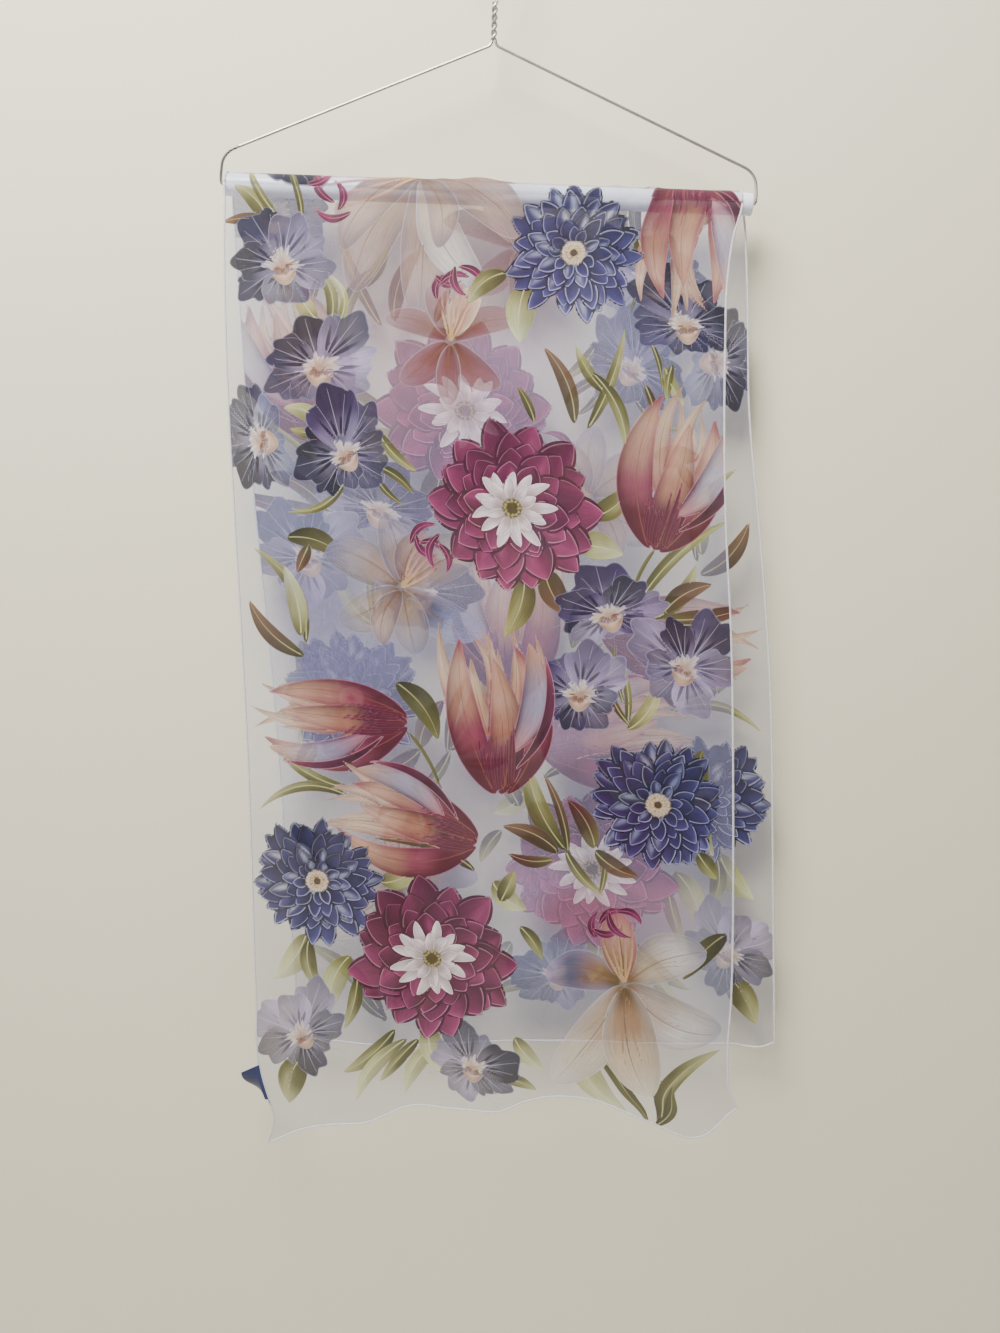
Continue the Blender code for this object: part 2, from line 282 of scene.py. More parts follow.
class Graph:
    """The nodes of one material, ending in one Principled shader."""

    def __init__(self, name: str) -> None:
        """Start a material with an output node only."""
        self.material = bpy.data.materials.new(name)
        self.material.use_nodes = True
        self.tree = self.material.node_tree
        self.tree.nodes.clear()
        self.output = self.tree.nodes.new("ShaderNodeOutputMaterial")

    def node(self, kind: str, settings: dict[str, Any], values: dict[Any, Any]) -> Any:
        """Add a node.

        Args:
            kind: The node's type.
            settings: Its own properties, set first.
            values: Its inputs by name or number: a Value, a socket, or a constant.

        Returns:
            The node.
        """
        made = self.tree.nodes.new(kind)
        for key, value in settings.items():
            setattr(made, key, value)
        for key, value in values.items():
            source = value.socket if isinstance(value, Value) else value
            if isinstance(source, bpy.types.NodeSocket):
                self.tree.links.new(source, made.inputs[key])
            else:
                made.inputs[key].default_value = source
        return made

    def mix(self, share: Any, first: Any, second: Any) -> Any:
        """Mix two colours and return the colour socket."""
        values = {0: share, 6: first, 7: second}
        return self.node("ShaderNodeMix", {"data_type": "RGBA"}, values).outputs[2]

    def scaled(self, colour: Any, by: Any) -> Any:
        """A colour times a number."""
        made = self.node("ShaderNodeVectorMath", {"operation": "SCALE"}, {0: colour, "Scale": by})
        return made.outputs[0]

    def attribute(self, name: str) -> Any:
        """The node that reads one of the mesh's own attributes."""
        return self.node("ShaderNodeAttribute", {"attribute_name": name}, {})

    def number(self, name: str) -> Value:
        """A number stored on the mesh."""
        return Value(self, self.attribute(name).outputs["Fac"])

    def place(self) -> Any:
        """Object coordinates."""
        return self.node("ShaderNodeTexCoord", {}, {}).outputs["Object"]

    def flat(self, size: tuple[float, float]) -> tuple[Value, Value]:
        """The cloth's flat coordinates in metres, from its UV map times its size."""
        uv = self.node("ShaderNodeTexCoord", {}, {}).outputs["UV"]
        first, second, _ = self.split(uv)
        return first * size[0], second * size[1]

    def split(self, vector: Any) -> list[Value]:
        """The three numbers of a vector."""
        return [Value(self, part) for part in self.node("ShaderNodeSeparateXYZ", {}, {0: vector}).outputs]

    def joined(self, first: Value, second: Value) -> Any:
        """A vector from two numbers, and zero."""
        return self.node("ShaderNodeCombineXYZ", {}, {0: first, 1: second}).outputs[0]

    def noise(self, at: Any, scale: float, detail: float = 2.0, rough: float = 0.5) -> Value:
        """Smooth noise from 0 to 1 about one half."""
        values = {"Vector": at, "Scale": scale, "Detail": detail, "Roughness": rough}
        return Value(self, self.node("ShaderNodeTexNoise", {}, values).outputs[0])

    def bump(self, height: Value, strength: float, depth: float) -> Any:
        """A normal from a height that stands for this many metres."""
        values = {"Strength": strength, "Distance": depth, "Height": height}
        return self.node("ShaderNodeBump", {}, values).outputs[0]

    def principled(self, values: dict[str, Any]) -> Material:
        """End the graph in a Principled shader with these sockets."""
        shader = self.node("ShaderNodeBsdfPrincipled", {}, values)
        self.tree.links.new(shader.outputs[0], self.output.inputs[0])
        return self.material


# ---- inks


INK_DEPTH = 1.55
INK_GREY = 0.16


def ink(red: float, green: float, blue: float, density: float = 0.97) -> Array:
    """A printed colour.

    Args:
        red: Display value, 0 to 255.
        green: Display value, 0 to 255.
        blue: Display value, 0 to 255.
        density: How fully it covers the cloth, 0 to 1.

    Returns:
        Linear red, green and blue, deepened as ink sinks into cloth, and the density.
    """
    display = np.array([red, green, blue]) / 255.0
    linear = np.where(display <= 0.04045, display / 12.92, ((display + 0.055) / 1.055) ** 2.4)
    deep = linear**INK_DEPTH
    return np.append(deep + (deep.mean() - deep) * INK_GREY, density)


GROUND = ink(172, 172, 202, 0.17)

NAVY = ink(34, 34, 78)
SLATE = ink(62, 62, 90)
BLUE = ink(68, 60, 124)
VIOLET = ink(82, 34, 112)
PERIWINKLE = ink(118, 114, 174)
PALE_BLUE = ink(170, 178, 214, 0.42)
LAVENDER = ink(176, 164, 196, 0.72)
LILAC = ink(204, 178, 212, 0.42)
BLUE_RIM = ink(206, 206, 236)
MAGENTA = ink(122, 30, 92)
WINE = ink(98, 22, 72)
ROSE = ink(172, 74, 132)
PINK_RIM = ink(226, 168, 196)
PETAL_WHITE = ink(216, 204, 208)
OLIVE_EYE = ink(112, 100, 52)
CREAM = ink(226, 210, 186, 0.6)
PEACH = ink(200, 164, 142, 0.8)
APRICOT = ink(180, 132, 108, 0.88)
BURGUNDY = ink(122, 34, 68)
DUSTY_ROSE = ink(190, 122, 132, 0.76)
TAN = ink(164, 128, 88, 0.8)
BROWN = ink(114, 92, 70)
OLIVE = ink(130, 126, 76)
DARK_OLIVE = ink(100, 98, 62)
LIME = ink(178, 178, 120, 0.76)
PALE_GREEN = ink(206, 210, 168, 0.6)
DUSK = ink(120, 116, 142, 0.8)
WHITE = ink(244, 242, 246, 0.7)
NO_RIM = ink(0, 0, 0, 0)


def along_petal(t: Array, *stops: Array) -> Array:
    """Inks evenly spaced from foot to tip, eased from one to the next."""
    t = np.clip(t, 0.0, 1.0) * (len(stops) - 1)
    colour = np.broadcast_to(stops[0], (*t.shape, 4))
    for number, stop in enumerate(stops[1:]):
        colour = blend(colour, stop, ease(t - number)[..., None])
    return colour


# ---- painting the cloth


# An edge or a line this many of its own widths away never shows.
FAR = 9.0


class Painter:
    """The print on one stretch of cloth, held for the four corners of every face.

    Each corner keeps the top shape's colour, the colour under it, the distance to the top
    shape's edge over the width of its rim (below zero inside), a thin line's distance over its
    half width, and a vector that runs with the petal's grain. A shader that cuts at the edge
    draws outlines much finer than the faces.
    """

    def __init__(self, across: Array, along: Array) -> None:
        """Start with bare ground.

        Args:
            across: (rows, columns, 4) flat position of each corner in millimetres.
            along: The same, down the cloth.
        """
        self.across = across
        self.along = along
        self.top = np.tile(GROUND, (*across.shape, 1))
        self.under = self.top.copy()
        self.rim = np.zeros((*across.shape, 4))
        self.edge = np.full(across.shape, -FAR)
        self.line = np.full(across.shape, FAR)
        self.ink = np.zeros((*across.shape, 4))
        self.grain = np.stack([across * 0.35, along * 0.12, across * 0.0], axis=-1)

    def window(self, across: float, along: float, reach: float) -> Window | None:
        """The rows and columns of faces within reach of a point, or None."""
        rows = np.flatnonzero(
            (self.along.min(axis=(1, 2)) < along + reach)
            & (self.along.max(axis=(1, 2)) > along - reach)
        )
        columns = np.flatnonzero(
            (self.across.min(axis=(0, 2)) < across + reach)
            & (self.across.max(axis=(0, 2)) > across - reach)
        )
        if not len(rows) or not len(columns):
            return None
        return slice(rows[0], rows[-1] + 1), slice(columns[0], columns[-1] + 1)

    def lay(
        self, window: Window, depth: Array, colour: Array, rim: Array = NO_RIM, rim_width: float = 0.9,
        grain: Array | None = None,
    ) -> None:
        """Print a shape over what is there.

        Args:
            window: The faces it may touch.
            depth: Signed distance of each corner to its outline in mm, below zero inside.
            colour: Its colour at each corner.
            rim: Colour along the inside of its outline.
            rim_width: Width of that rim in mm.
            grain: Vector along which its streaks run.
        """
        colour = np.broadcast_to(colour, (*depth.shape, 4))
        inside = depth.max(axis=-1) <= 0.0
        crossed = (depth.min(axis=-1) < 0.0) & ~inside
        touched = inside | crossed
        seen = np.where(self.edge[window][..., None] < 0.0, self.top[window], self.under[window])
        self.under[window][crossed] = seen[crossed]
        self.top[window][touched] = colour[touched]
        self.rim[window][touched] = rim
        self.edge[window][touched] = depth[touched] / rim_width
        self.line[window][inside] = FAR
        if grain is not None:
            self.grain[window][touched] = grain[touched]

    def wash(
        self, window: Window, depth: Array, colour: Array, softness: float, strength: float,
    ) -> None:
        """Tint what is there inside an outline whose edge fades over softness mm."""
        share = (strength * ease(0.5 - depth / (2.0 * softness)))[..., None]
        colour = np.broadcast_to(colour, (*depth.shape, 4))
        for layer, count in ((self.top, 4), (self.under, 4), (self.rim, 3), (self.ink, 3)):
            part = layer[window][..., :count]
            part += (colour[..., :count] - part) * share

    def rule(self, window: Window, offset: Array, half_width: Array, colour: Array) -> None:
        """Print a thin line.

        Args:
            window: The faces it may touch.
            offset: Signed distance of each corner to its middle in mm.
            half_width: Half its width there in mm, 0 past its ends.
            colour: Its colour.
        """
        ratio = offset / np.maximum(half_width, 0.05)
        near = (np.abs(ratio).min(axis=-1) < 1.4) | (ratio.min(axis=-1) * ratio.max(axis=-1) < 0)
        near &= half_width.max(axis=-1) > 0.0
        self.line[window][near] = np.clip(ratio, -FAR, FAR)[near]
        self.ink[window][near] = colour

    def store(self, mesh: Mesh) -> None:
        """Write the print to the mesh as attributes of its face corners."""
        kinds = (
            ("FLOAT_COLOR", ("top", "under", "rim", "ink")), ("FLOAT", ("edge", "line")),
            ("FLOAT_VECTOR", ("grain",)),
        )
        for kind, names in kinds:
            for name in names:
                store(mesh, "print_" + name, kind, "CORNER", getattr(self, name))


@dataclass(frozen=True)
class Blade:
    """A petal, leaf or strap from its foot to its tip.

    Its half width is "width" times t to the power rise times (1 - t) to the power fall, scaled
    so that its widest is "width". Its middle line bows sideways by "bow" of its length, most
    at the middle.
    """

    foot: Point
    tip: Point
    width: float
    inks: tuple[Array, ...]
    bow: float = 0.0
    rise: float = 0.8
    fall: float = 0.6
    rim: Array = field(default_factory=lambda: NO_RIM)
    rim_width: float = 0.9
    vein: Array | None = None
    vein_width: float = 0.45
    side_light: float = 0.25
    seed: float = 0.0
    lit: Array | None = None
    edge: Array | None = None

    def draw(self, painter: Painter) -> None:
        """Print it."""
        foot, tip = np.array(self.foot), np.array(self.tip)
        length = float(np.hypot(*(tip - foot)))
        middle = (foot + tip) / 2
        reach = length * (0.55 + abs(self.bow)) + self.width + 2.0
        window = painter.window(middle[0], middle[1], reach)
        if window is None:
            return
        ahead = (tip - foot) / length
        dx, ds = painter.across[window] - foot[0], painter.along[window] - foot[1]
        t = (dx * ahead[0] + ds * ahead[1]) / length
        held = np.clip(t, 0.0, 1.0)
        q = ds * ahead[0] - dx * ahead[1] - self.bow * length * 4 * held * (1 - held)
        widest = self.rise / (self.rise + self.fall)
        half = self.width * (held / widest) ** self.rise
        half *= ((1 - held) / (1 - widest)) ** self.fall
        depth = np.maximum(np.abs(q) - half, np.maximum(-t, t - 1) * length)
        share = np.clip(q / np.maximum(half, 0.3), -1.0, 1.0)
        colour = along_petal(held, *self.inks).copy()
        if self.edge is not None:
            border = np.clip((np.abs(share) - 0.3) / 0.6, 0.0, 1.0) ** 1.6
            colour = blend(colour, self.edge, (border * np.clip(1.25 - held, 0.0, 1.0))[..., None])
        colour[..., :3] *= (1.0 + self.side_light * share)[..., None]
        if self.lit is not None:
            shine = np.exp(-(((share - 0.3) / 0.3) ** 2) - ((held - 0.6) / 0.25) ** 2)
            colour = blend(colour, self.lit, 0.7 * shine[..., None])
        grain = np.stack([share * self.width * 0.9, held * length * 0.07, q * 0], axis=-1)
        grain[..., 2] = self.seed
        painter.lay(window, depth, colour, self.rim, self.rim_width, grain)
        if self.vein is not None:
            taper = self.vein_width * np.where((t > 0.03) & (t < 0.93), 1.1 - held, 0.0)
            painter.rule(window, q - 0.1 * half, taper, self.vein)


@dataclass(frozen=True)
class Place:
    """Where a flower lies: its middle, the turn of its own axes and how far it is tipped."""

    across: float
    along: float
    turn: float = 0.0
    squash: float = 1.0

    def at(self, radius: float, angle: float) -> Point:
        """The flat point this far from the flower's middle at an angle of its own."""
        u, v = radius * math.cos(angle), radius * math.sin(angle) * self.squash
        turn = math.radians(self.turn)
        across = self.across + u * math.cos(turn) - v * math.sin(turn)
        along = self.along + u * math.sin(turn) + v * math.cos(turn)
        return across, along

    def polar(self, painter: Painter, reach: float) -> tuple[Window, Array, Array] | None:
        """Faces within reach, with each corner's distance and angle in the flower's axes."""
        window = painter.window(self.across, self.along, reach)
        if window is None:
            return None
        dx, ds = painter.across[window] - self.across, painter.along[window] - self.along
        turn = math.radians(self.turn)
        u = dx * math.cos(turn) + ds * math.sin(turn)
        v = (ds * math.cos(turn) - dx * math.sin(turn)) / self.squash
        return window, np.hypot(u, v), np.arctan2(v, u)


class Ring(NamedTuple):
    """A ring of petals: how many, where they start and end and their half width, in radii."""

    count: int
    start: float
    end: float
    width: float


class DahliaKind(Enum):
    """The two dahlias of the design."""

    BLUE = "blue"
    MAGENTA = "magenta"


@dataclass(frozen=True)
class DahliaInks:
    """Colours of a dahlia: its darker and lighter sides, rims and highlights."""

    dark: Array
    deep: Array
    light: Array
    rim: Array
    shine: Array


DAHLIA_INKS = {
    DahliaKind.BLUE: DahliaInks(NAVY, SLATE, PERIWINKLE, BLUE_RIM, PALE_BLUE),
    DahliaKind.MAGENTA: DahliaInks(WINE, MAGENTA, ROSE, PINK_RIM, ROSE),
}

DAHLIA_RINGS = {
    DahliaKind.BLUE: (
        Ring(18, 0.48, 1.04, 0.128), Ring(16, 0.40, 0.90, 0.130), Ring(14, 0.30, 0.76, 0.126),
        Ring(12, 0.22, 0.58, 0.108), Ring(9, 0.16, 0.40, 0.082),
    ),
    DahliaKind.MAGENTA: (
        Ring(15, 0.42, 1.03, 0.180), Ring(13, 0.36, 0.87, 0.182), Ring(12, 0.28, 0.72, 0.164),
        Ring(10, 0.22, 0.57, 0.140),
    ),
}


@dataclass(frozen=True)
class Dahlia:
    """A round flower of rings of pointed petals with pale rims, drawn from the outside in."""

    place: Place
    radius: float
    kind: DahliaKind
    seed: int
    dusk: float = 0.0
    violet: float = 0.0
    violet_side: float = 120.0

    def petal_inks(self, angle: float, rng: Random) -> tuple[Array, ...]:
        """Foot, middle and tip inks of a petal: darker on the upper side of the flower."""
        inks = DAHLIA_INKS[self.kind]
        below = 0.5 + 0.5 * math.sin(angle + math.radians(self.place.turn))
        light = blend(inks.deep, inks.light, np.clip(below * 0.8 + rng.uniform(-0.4, 0.5), 0, 1))
        middle = blend(inks.deep, light, 0.55)
        if self.kind is DahliaKind.BLUE:
            middle = blend(middle, BLUE, 0.5)
            toward = 0.5 + 0.5 * math.cos(angle - math.radians(self.violet_side))
            middle = blend(middle, VIOLET, self.violet * toward)
            light = blend(light, VIOLET, 0.6 * self.violet * toward)
        tip = blend(light, inks.dark, self.dusk * (1 - below))
        dark = blend(inks.dark, middle, rng.uniform(0.0, 0.35))
        return dark, dark, blend(dark, middle, 0.6), middle, tip

    def draw(self, painter: Painter) -> None:
        """Print it."""
        rng = np.random.default_rng(self.seed)
        inks = DAHLIA_INKS[self.kind]
        for number, ring in enumerate(DAHLIA_RINGS[self.kind]):
            for petal in range(ring.count):
                angle = (petal + 0.5 * number + rng.uniform(-0.3, 0.3)) * TAU / ring.count
                start = self.radius * ring.start * rng.uniform(0.9, 1.05)
                end = self.radius * ring.end * rng.uniform(0.88, 1.06)
                squeeze = math.hypot(math.cos(angle), self.place.squash * math.sin(angle))
                rim = inks.rim.copy()
                below = 0.5 + 0.5 * math.sin(angle + math.radians(self.place.turn))
                rim[3] = rng.uniform(0.05, 0.5) + 0.38 * below
                foot = self.place.at(start * 0.8, angle)
                tip = self.place.at(end, angle + rng.uniform(-0.06, 0.06))
                wide = self.radius * ring.width * rng.uniform(0.9, 1.12) * (0.5 + 0.5 * squeeze)
                bow = rng.uniform(-0.07, 0.07)
                gap = blend(inks.dark, inks.deep, 0.3)
                Blade(foot, tip, wide * 1.15, (gap,), bow=bow, rise=0.9, fall=0.75).draw(painter)
                Blade(
                    foot, tip, wide, self.petal_inks(angle, rng), bow=bow, rise=0.9, fall=0.92, rim=rim,
                    rim_width=rng.uniform(0.9, 1.6),
                    side_light=rng.uniform(0.2, 0.55) * rng.choice((-1, 1)), seed=grain_seed(rng),
                    lit=inks.shine if rng.uniform() < 0.4 else None,
                ).draw(painter)
        if self.kind is DahliaKind.BLUE:
            self.draw_disc(painter)
        else:
            self.draw_heart(painter, rng)

    def draw_disc(self, painter: Painter) -> None:
        """A cream button of tiny florets round a brown eye."""
        disc = self.radius * 0.175
        spot(painter, self.place, disc, TAN, ink(150, 130, 110), 0.8)
        inner = ink(214, 196, 160)
        spot_ring(painter, self.place, 18, disc * 0.82, disc * 0.2, CREAM, ink(150, 120, 96))
        spot_ring(painter, self.place, 11, disc * 0.5, disc * 0.17, inner, ink(120, 96, 72), turn=0.4)
        spot(painter, self.place, disc * 0.3, BROWN, ink(72, 54, 46), 0.8)

    def draw_heart(self, painter: Painter, rng: Random) -> None:
        """A white star of pointed petals round an olive eye."""
        for number, (count, start, end) in enumerate(((13, 0.16, 0.50), (10, 0.1, 0.35))):
            for petal in range(count):
                angle = (petal + 0.5 * number + rng.uniform(-0.22, 0.22)) * TAU / count
                Blade(
                    self.place.at(self.radius * start * 0.6, angle),
                    self.place.at(self.radius * end * rng.uniform(0.85, 1.1), angle),
                    self.radius * 0.062,
                    (ink(160, 146, 126), ink(188, 172, 172), PETAL_WHITE, ink(214, 200, 208)),
                    bow=rng.uniform(-0.1, 0.1), fall=0.75, rim=ink(240, 232, 230, 0.9), rim_width=0.8,
                    side_light=rng.uniform(0.15, 0.4) * rng.choice((-1, 1)), seed=grain_seed(rng),
                    vein=ink(190, 176, 170), vein_width=0.3,
                ).draw(painter)
        spot(painter, self.place, self.radius * 0.115, OLIVE_EYE, ink(176, 164, 110), 1.2)
        seed_ink, seed_rim = ink(184, 172, 112), ink(96, 84, 44)
        out, size = self.radius * 0.085, self.radius * 0.022
        spot_ring(painter, self.place, 12, out, size, seed_ink, seed_rim, width=0.4)


def spot(painter: Painter, place: Place, radius: float, fill: Array, rim: Array, width: float) -> None:
    """Print a small disc."""
    found = place.polar(painter, radius + 3.0)
    if found is not None:
        window, distance, _ = found
        painter.lay(window, distance - radius, fill, rim, width)


def spot_ring(
    painter: Painter, place: Place, count: int, out: float, radius: float, fill: Array, rim: Array,
    width: float = 0.5, turn: float = 0.0,
) -> None:
    """Print small discs in a ring, turned by this share of the step between them."""
    for number in range(count):
        centre = Place(*place.at(out, (number + turn) * TAU / count))
        spot(painter, centre, radius, fill, rim, width)


def soft_spot(
    painter: Painter, place: Place, reach: float, radius: float, tint: Array, softness: float,
    strength: float,
) -> None:
    """Tint a disc whose edge fades over softness mm."""
    found = place.polar(painter, reach)
    if found is not None:
        window, distance, _ = found
        painter.wash(window, distance - radius, tint, softness, strength)


def grain_seed(rng: Random) -> float:
    """A number that gives a petal streaks of its own."""
    return rng.uniform(0, 90)


# Lobes of a petunia. They overlap, and every other one is laid first.
LOBES = 8


@dataclass(frozen=True)
class Petunia:
    """A ruffled trumpet of eight overlapping lobes, five tones in all, round a peach throat.

    A lobe's outline is its radius times the cosine of the angle from its middle, raised to a
    small power so that it is broad, times a ripple for its scallops.
    """

    place: Place
    radius: float
    tones: tuple[Array, Array, Array, Array, Array]
    seed: int
    throat: float = 0.27
    throat_out: float = 0.2
    throat_turn: float = 0.0

    def draw(self, painter: Painter) -> None:
        """Print it."""
        rng = np.random.default_rng(self.seed)
        for number in (*range(0, LOBES, 2), *range(1, LOBES, 2)):
            self.draw_lobe(painter, number, rng)
        self.draw_throat(painter, rng)

    def draw_lobe(self, painter: Painter, number: int, rng: Random) -> None:
        """One lobe of the frill with its folds, pale ribs and dark veins."""
        found = self.place.polar(painter, self.radius * 1.2 + 3.0)
        if found is None:
            return
        window, distance, angle = found
        middle = number * TAU / LOBES + rng.uniform(-0.1, 0.1)
        away = np.angle(np.exp(1j * (angle - middle)))
        half = TAU / LOBES * rng.uniform(0.85, 1.15)
        inside = np.cos(np.clip(away / half, -1, 1) * math.pi / 2)
        phase = rng.uniform(0, TAU)
        scallop = np.abs(np.sin(away / half * 4.4 + phase)) ** 0.8
        ripple = 0.88 + 0.13 * scallop + 0.04 * np.sin(away / half * 11.0 + 2 * phase)
        toward = math.cos(middle - math.radians(self.throat_turn))
        frill = 1 + 0.13 * math.cos(5 * middle + self.seed)
        reach = self.radius * rng.uniform(0.86, 1.12) * frill * (1 - 0.9 * self.throat_out * toward)
        outline = reach * inside**0.42 * ripple
        depth = (distance - outline) * (0.5 + 0.5 * self.place.squash)
        share = np.clip(distance / reach, 0.0, 1.2)
        tone = number * len(self.tones) // LOBES
        main, beside = self.tones[tone], self.tones[(tone + 1) % len(self.tones)]
        main = blend(main, beside, rng.uniform(0, 0.6))
        dark = blend(main, NAVY, 0.6)
        near = blend(main, LAVENDER, 0.5)
        colour = along_petal(share, near, blend(main, near, 0.6), main, blend(main, dark, 0.55)).copy()
        colour[..., :3] *= rng.uniform(0.75, 1.2)
        folds = 0.34 * np.sin(away / half * 3.4 + phase) + 0.3 * (scallop - 0.6) * share
        colour[..., :3] *= (1 + folds)[..., None]
        grain = np.stack([away * self.radius * 0.42, distance * 0.05, away * 0], axis=-1)
        grain[..., 2] = self.seed + 3.7 * number
        rim = blend(main, BLUE_RIM, 0.5)
        rim[3] = rng.uniform(0.2, 0.8)
        painter.lay(window, depth, colour, rim, 1.3, grain)
        for lean in (-0.62, -0.2, 0.3, 0.7):
            start = self.place.at(reach * 0.22, middle + lean * half * 0.5)
            end = self.place.at(reach * rng.uniform(0.62, 0.85), middle + lean * half * 0.8)
            shade = blend(dark, NAVY, 0.35)
            Blade(start, end, self.radius * 0.03, (shade, dark, main), fall=1.3).draw(painter)
        for lean, strong in ((0.0, 1.0), (-0.36, 0.6), (0.4, 0.65)):
            bend = lean * half * (0.5 + 0.5 * share)
            offset = (away - bend) * distance
            shown = (share > 0.25) & (share < 0.9 * (1 - 0.35 * abs(lean)))
            width = np.where(shown, 0.6 * strong * (1.15 - share), 0.0)
            painter.rule(window, offset, width, blend(main, ink(220, 214, 232), 0.36))

    def draw_throat(self, painter: Painter, rng: Random) -> None:
        """The peach funnel: a crescent lip low in the flower, under pale streaks."""
        lip = math.radians(self.throat_turn)
        reach = self.radius * self.throat
        for number in range(15):
            bearing = lip + math.pi + (number / 14 - 0.5) * 3.6 + rng.uniform(-0.08, 0.08)
            long = reach * rng.uniform(0.9, 1.7)
            Blade(
                self.place.at(reach * 0.5 * self.throat_out, lip), self.place.at(long, bearing),
                self.radius * rng.uniform(0.022, 0.05),
                (PEACH, ink(216, 200, 190, 0.8), ink(206, 204, 226, 0.75)),
                bow=rng.uniform(-0.08, 0.08), fall=1.4, seed=grain_seed(rng),
            ).draw(painter)
        bowl = Place(*self.place.at(reach * 0.35, lip), self.place.turn + self.throat_turn, 0.8)
        soft_spot(painter, bowl, reach * 2.0, reach * 0.35, ink(194, 166, 146), reach * 0.5, 0.85)
        Blade(
            self.place.at(reach, lip - 1.2), self.place.at(reach, lip + 1.2), self.radius * 0.09,
            (ink(170, 140, 122, 0.84), ink(204, 180, 158), ink(170, 140, 122, 0.84)), bow=-0.34,
            fall=0.9, edge=ink(214, 190, 176), seed=grain_seed(rng),
        ).draw(painter)
        for number in range(9):
            bearing = lip + (number / 8 - 0.5) * 2.6 + rng.uniform(-0.1, 0.1)
            Blade(
                self.place.at(reach * 0.2, bearing),
                self.place.at(reach * rng.uniform(0.7, 1.1), bearing), self.radius * 0.018,
                (ink(140, 104, 78), ink(176, 136, 104)), fall=1.2,
            ).draw(painter)


@dataclass(frozen=True)
class Tulip:
    """A flamed tulip: feathery peach tips, a burgundy cup and a magenta edge.

    It is built of blades between the bottom of its cup and its tips, the back ones first.
    """

    cup: Point
    tips: Point
    width: float
    seed: int
    bow: float = 0.0
    edge_side: float = 1.0

    def point(self, share: float, aside: float) -> Point:
        """A point this share of the way to the tips and this many mm to the side."""
        foot, tip = np.array(self.cup), np.array(self.tips)
        ahead = (tip - foot) / np.hypot(*(tip - foot))
        found = foot + (tip - foot) * share + np.array([-ahead[1], ahead[0]]) * aside
        return float(found[0]), float(found[1])

    def draw(self, painter: Painter) -> None:
        """Print it."""
        rng = np.random.default_rng(self.seed)
        w = self.width
        for number in range(9):
            aside = (number / 8 - 0.5) * 2.1
            Blade(
                self.point(0.36, aside * w * 0.4),
                self.point(rng.uniform(0.84, 1.12), aside * w * rng.uniform(0.6, 1.15)),
                w * rng.uniform(0.16, 0.3),
                (APRICOT, PEACH, blend(CREAM, PEACH, 0.5), blend(PEACH, OLIVE, 0.35)),
                bow=rng.uniform(-0.2, 0.2), rise=0.35, fall=1.2, rim=ink(226, 190, 176, 0.4),
                rim_width=0.7, edge=ink(150, 84, 100, 0.8), vein=blend(APRICOT, BROWN, 0.5),
                vein_width=0.35, side_light=rng.uniform(-0.4, 0.4), seed=grain_seed(rng),
            ).draw(painter)
        rose = ink(160, 78, 108, 0.92)
        flame = (BURGUNDY, BURGUNDY, rose, ink(182, 138, 122, 0.88), PEACH, rose)
        petals = (
            (0.34, 0.62, 0.92, 0.13, flame), (-0.34, -0.66, 0.97, -0.13, flame),
            (0.02, 0.10, 0.84, 0.03, (BURGUNDY, WINE, APRICOT, PEACH, PEACH)),
        )
        for foot_aside, tip_aside, share, bow, inks in petals:
            side = 1.0 if foot_aside > 0 else -1.0
            Blade(
                self.point(0.0, foot_aside * w * 0.45), self.point(share, tip_aside * w), w * 0.44,
                inks, bow=bow + self.bow, rise=0.62, fall=0.98, rim=ink(206, 128, 150, 0.75),
                rim_width=1.1, side_light=-0.3 * side, seed=grain_seed(rng),
                vein=blend(BURGUNDY, APRICOT, 0.4), vein_width=0.5, edge=blend(MAGENTA, BURGUNDY, 0.5),
            ).draw(painter)
        self.draw_inside(painter)
        self.draw_flames(painter, rng)

    def draw_inside(self, painter: Painter) -> None:
        """The grey hollow that shows past the turned edge, with its magenta lip."""
        side, w = self.edge_side, self.width
        for foot, tip, width, bow, inks in (
            ((0.24, 0.30), (0.92, 1.02), 0.36, 0.14, (DUSTY_ROSE, ink(176, 168, 192, 0.62), PEACH)),
            ((0.14, 0.34), (0.86, 1.34), 0.13, 0.16, (BURGUNDY, WINE, MAGENTA, ink(170, 96, 120))),
        ):
            Blade(
                self.point(foot[0], side * w * foot[1]), self.point(tip[0], side * w * tip[1]),
                w * width, inks, bow=side * bow, fall=0.8, rim=ink(226, 176, 192, 0.6), seed=4.0,
                edge=blend(MAGENTA, WINE, 0.4),
            ).draw(painter)

    def draw_flames(self, painter: Painter, rng: Random) -> None:
        """Burgundy streaks that rise from the cup."""
        for number in range(11):
            aside = (number / 10 - 0.5) * 0.92
            Blade(
                self.point(0.01 + 0.10 * abs(aside), aside * self.width * 0.62),
                self.point(rng.uniform(0.3, 0.52), aside * self.width * 0.98),
                self.width * rng.uniform(0.035, 0.065),
                (BURGUNDY, blend(BURGUNDY, MAGENTA, 0.4), MAGENTA), bow=0.05 * aside, rise=0.5,
                fall=1.1, rim=ink(206, 112, 140, 0.35), rim_width=0.5, seed=grain_seed(rng),
            ).draw(painter)


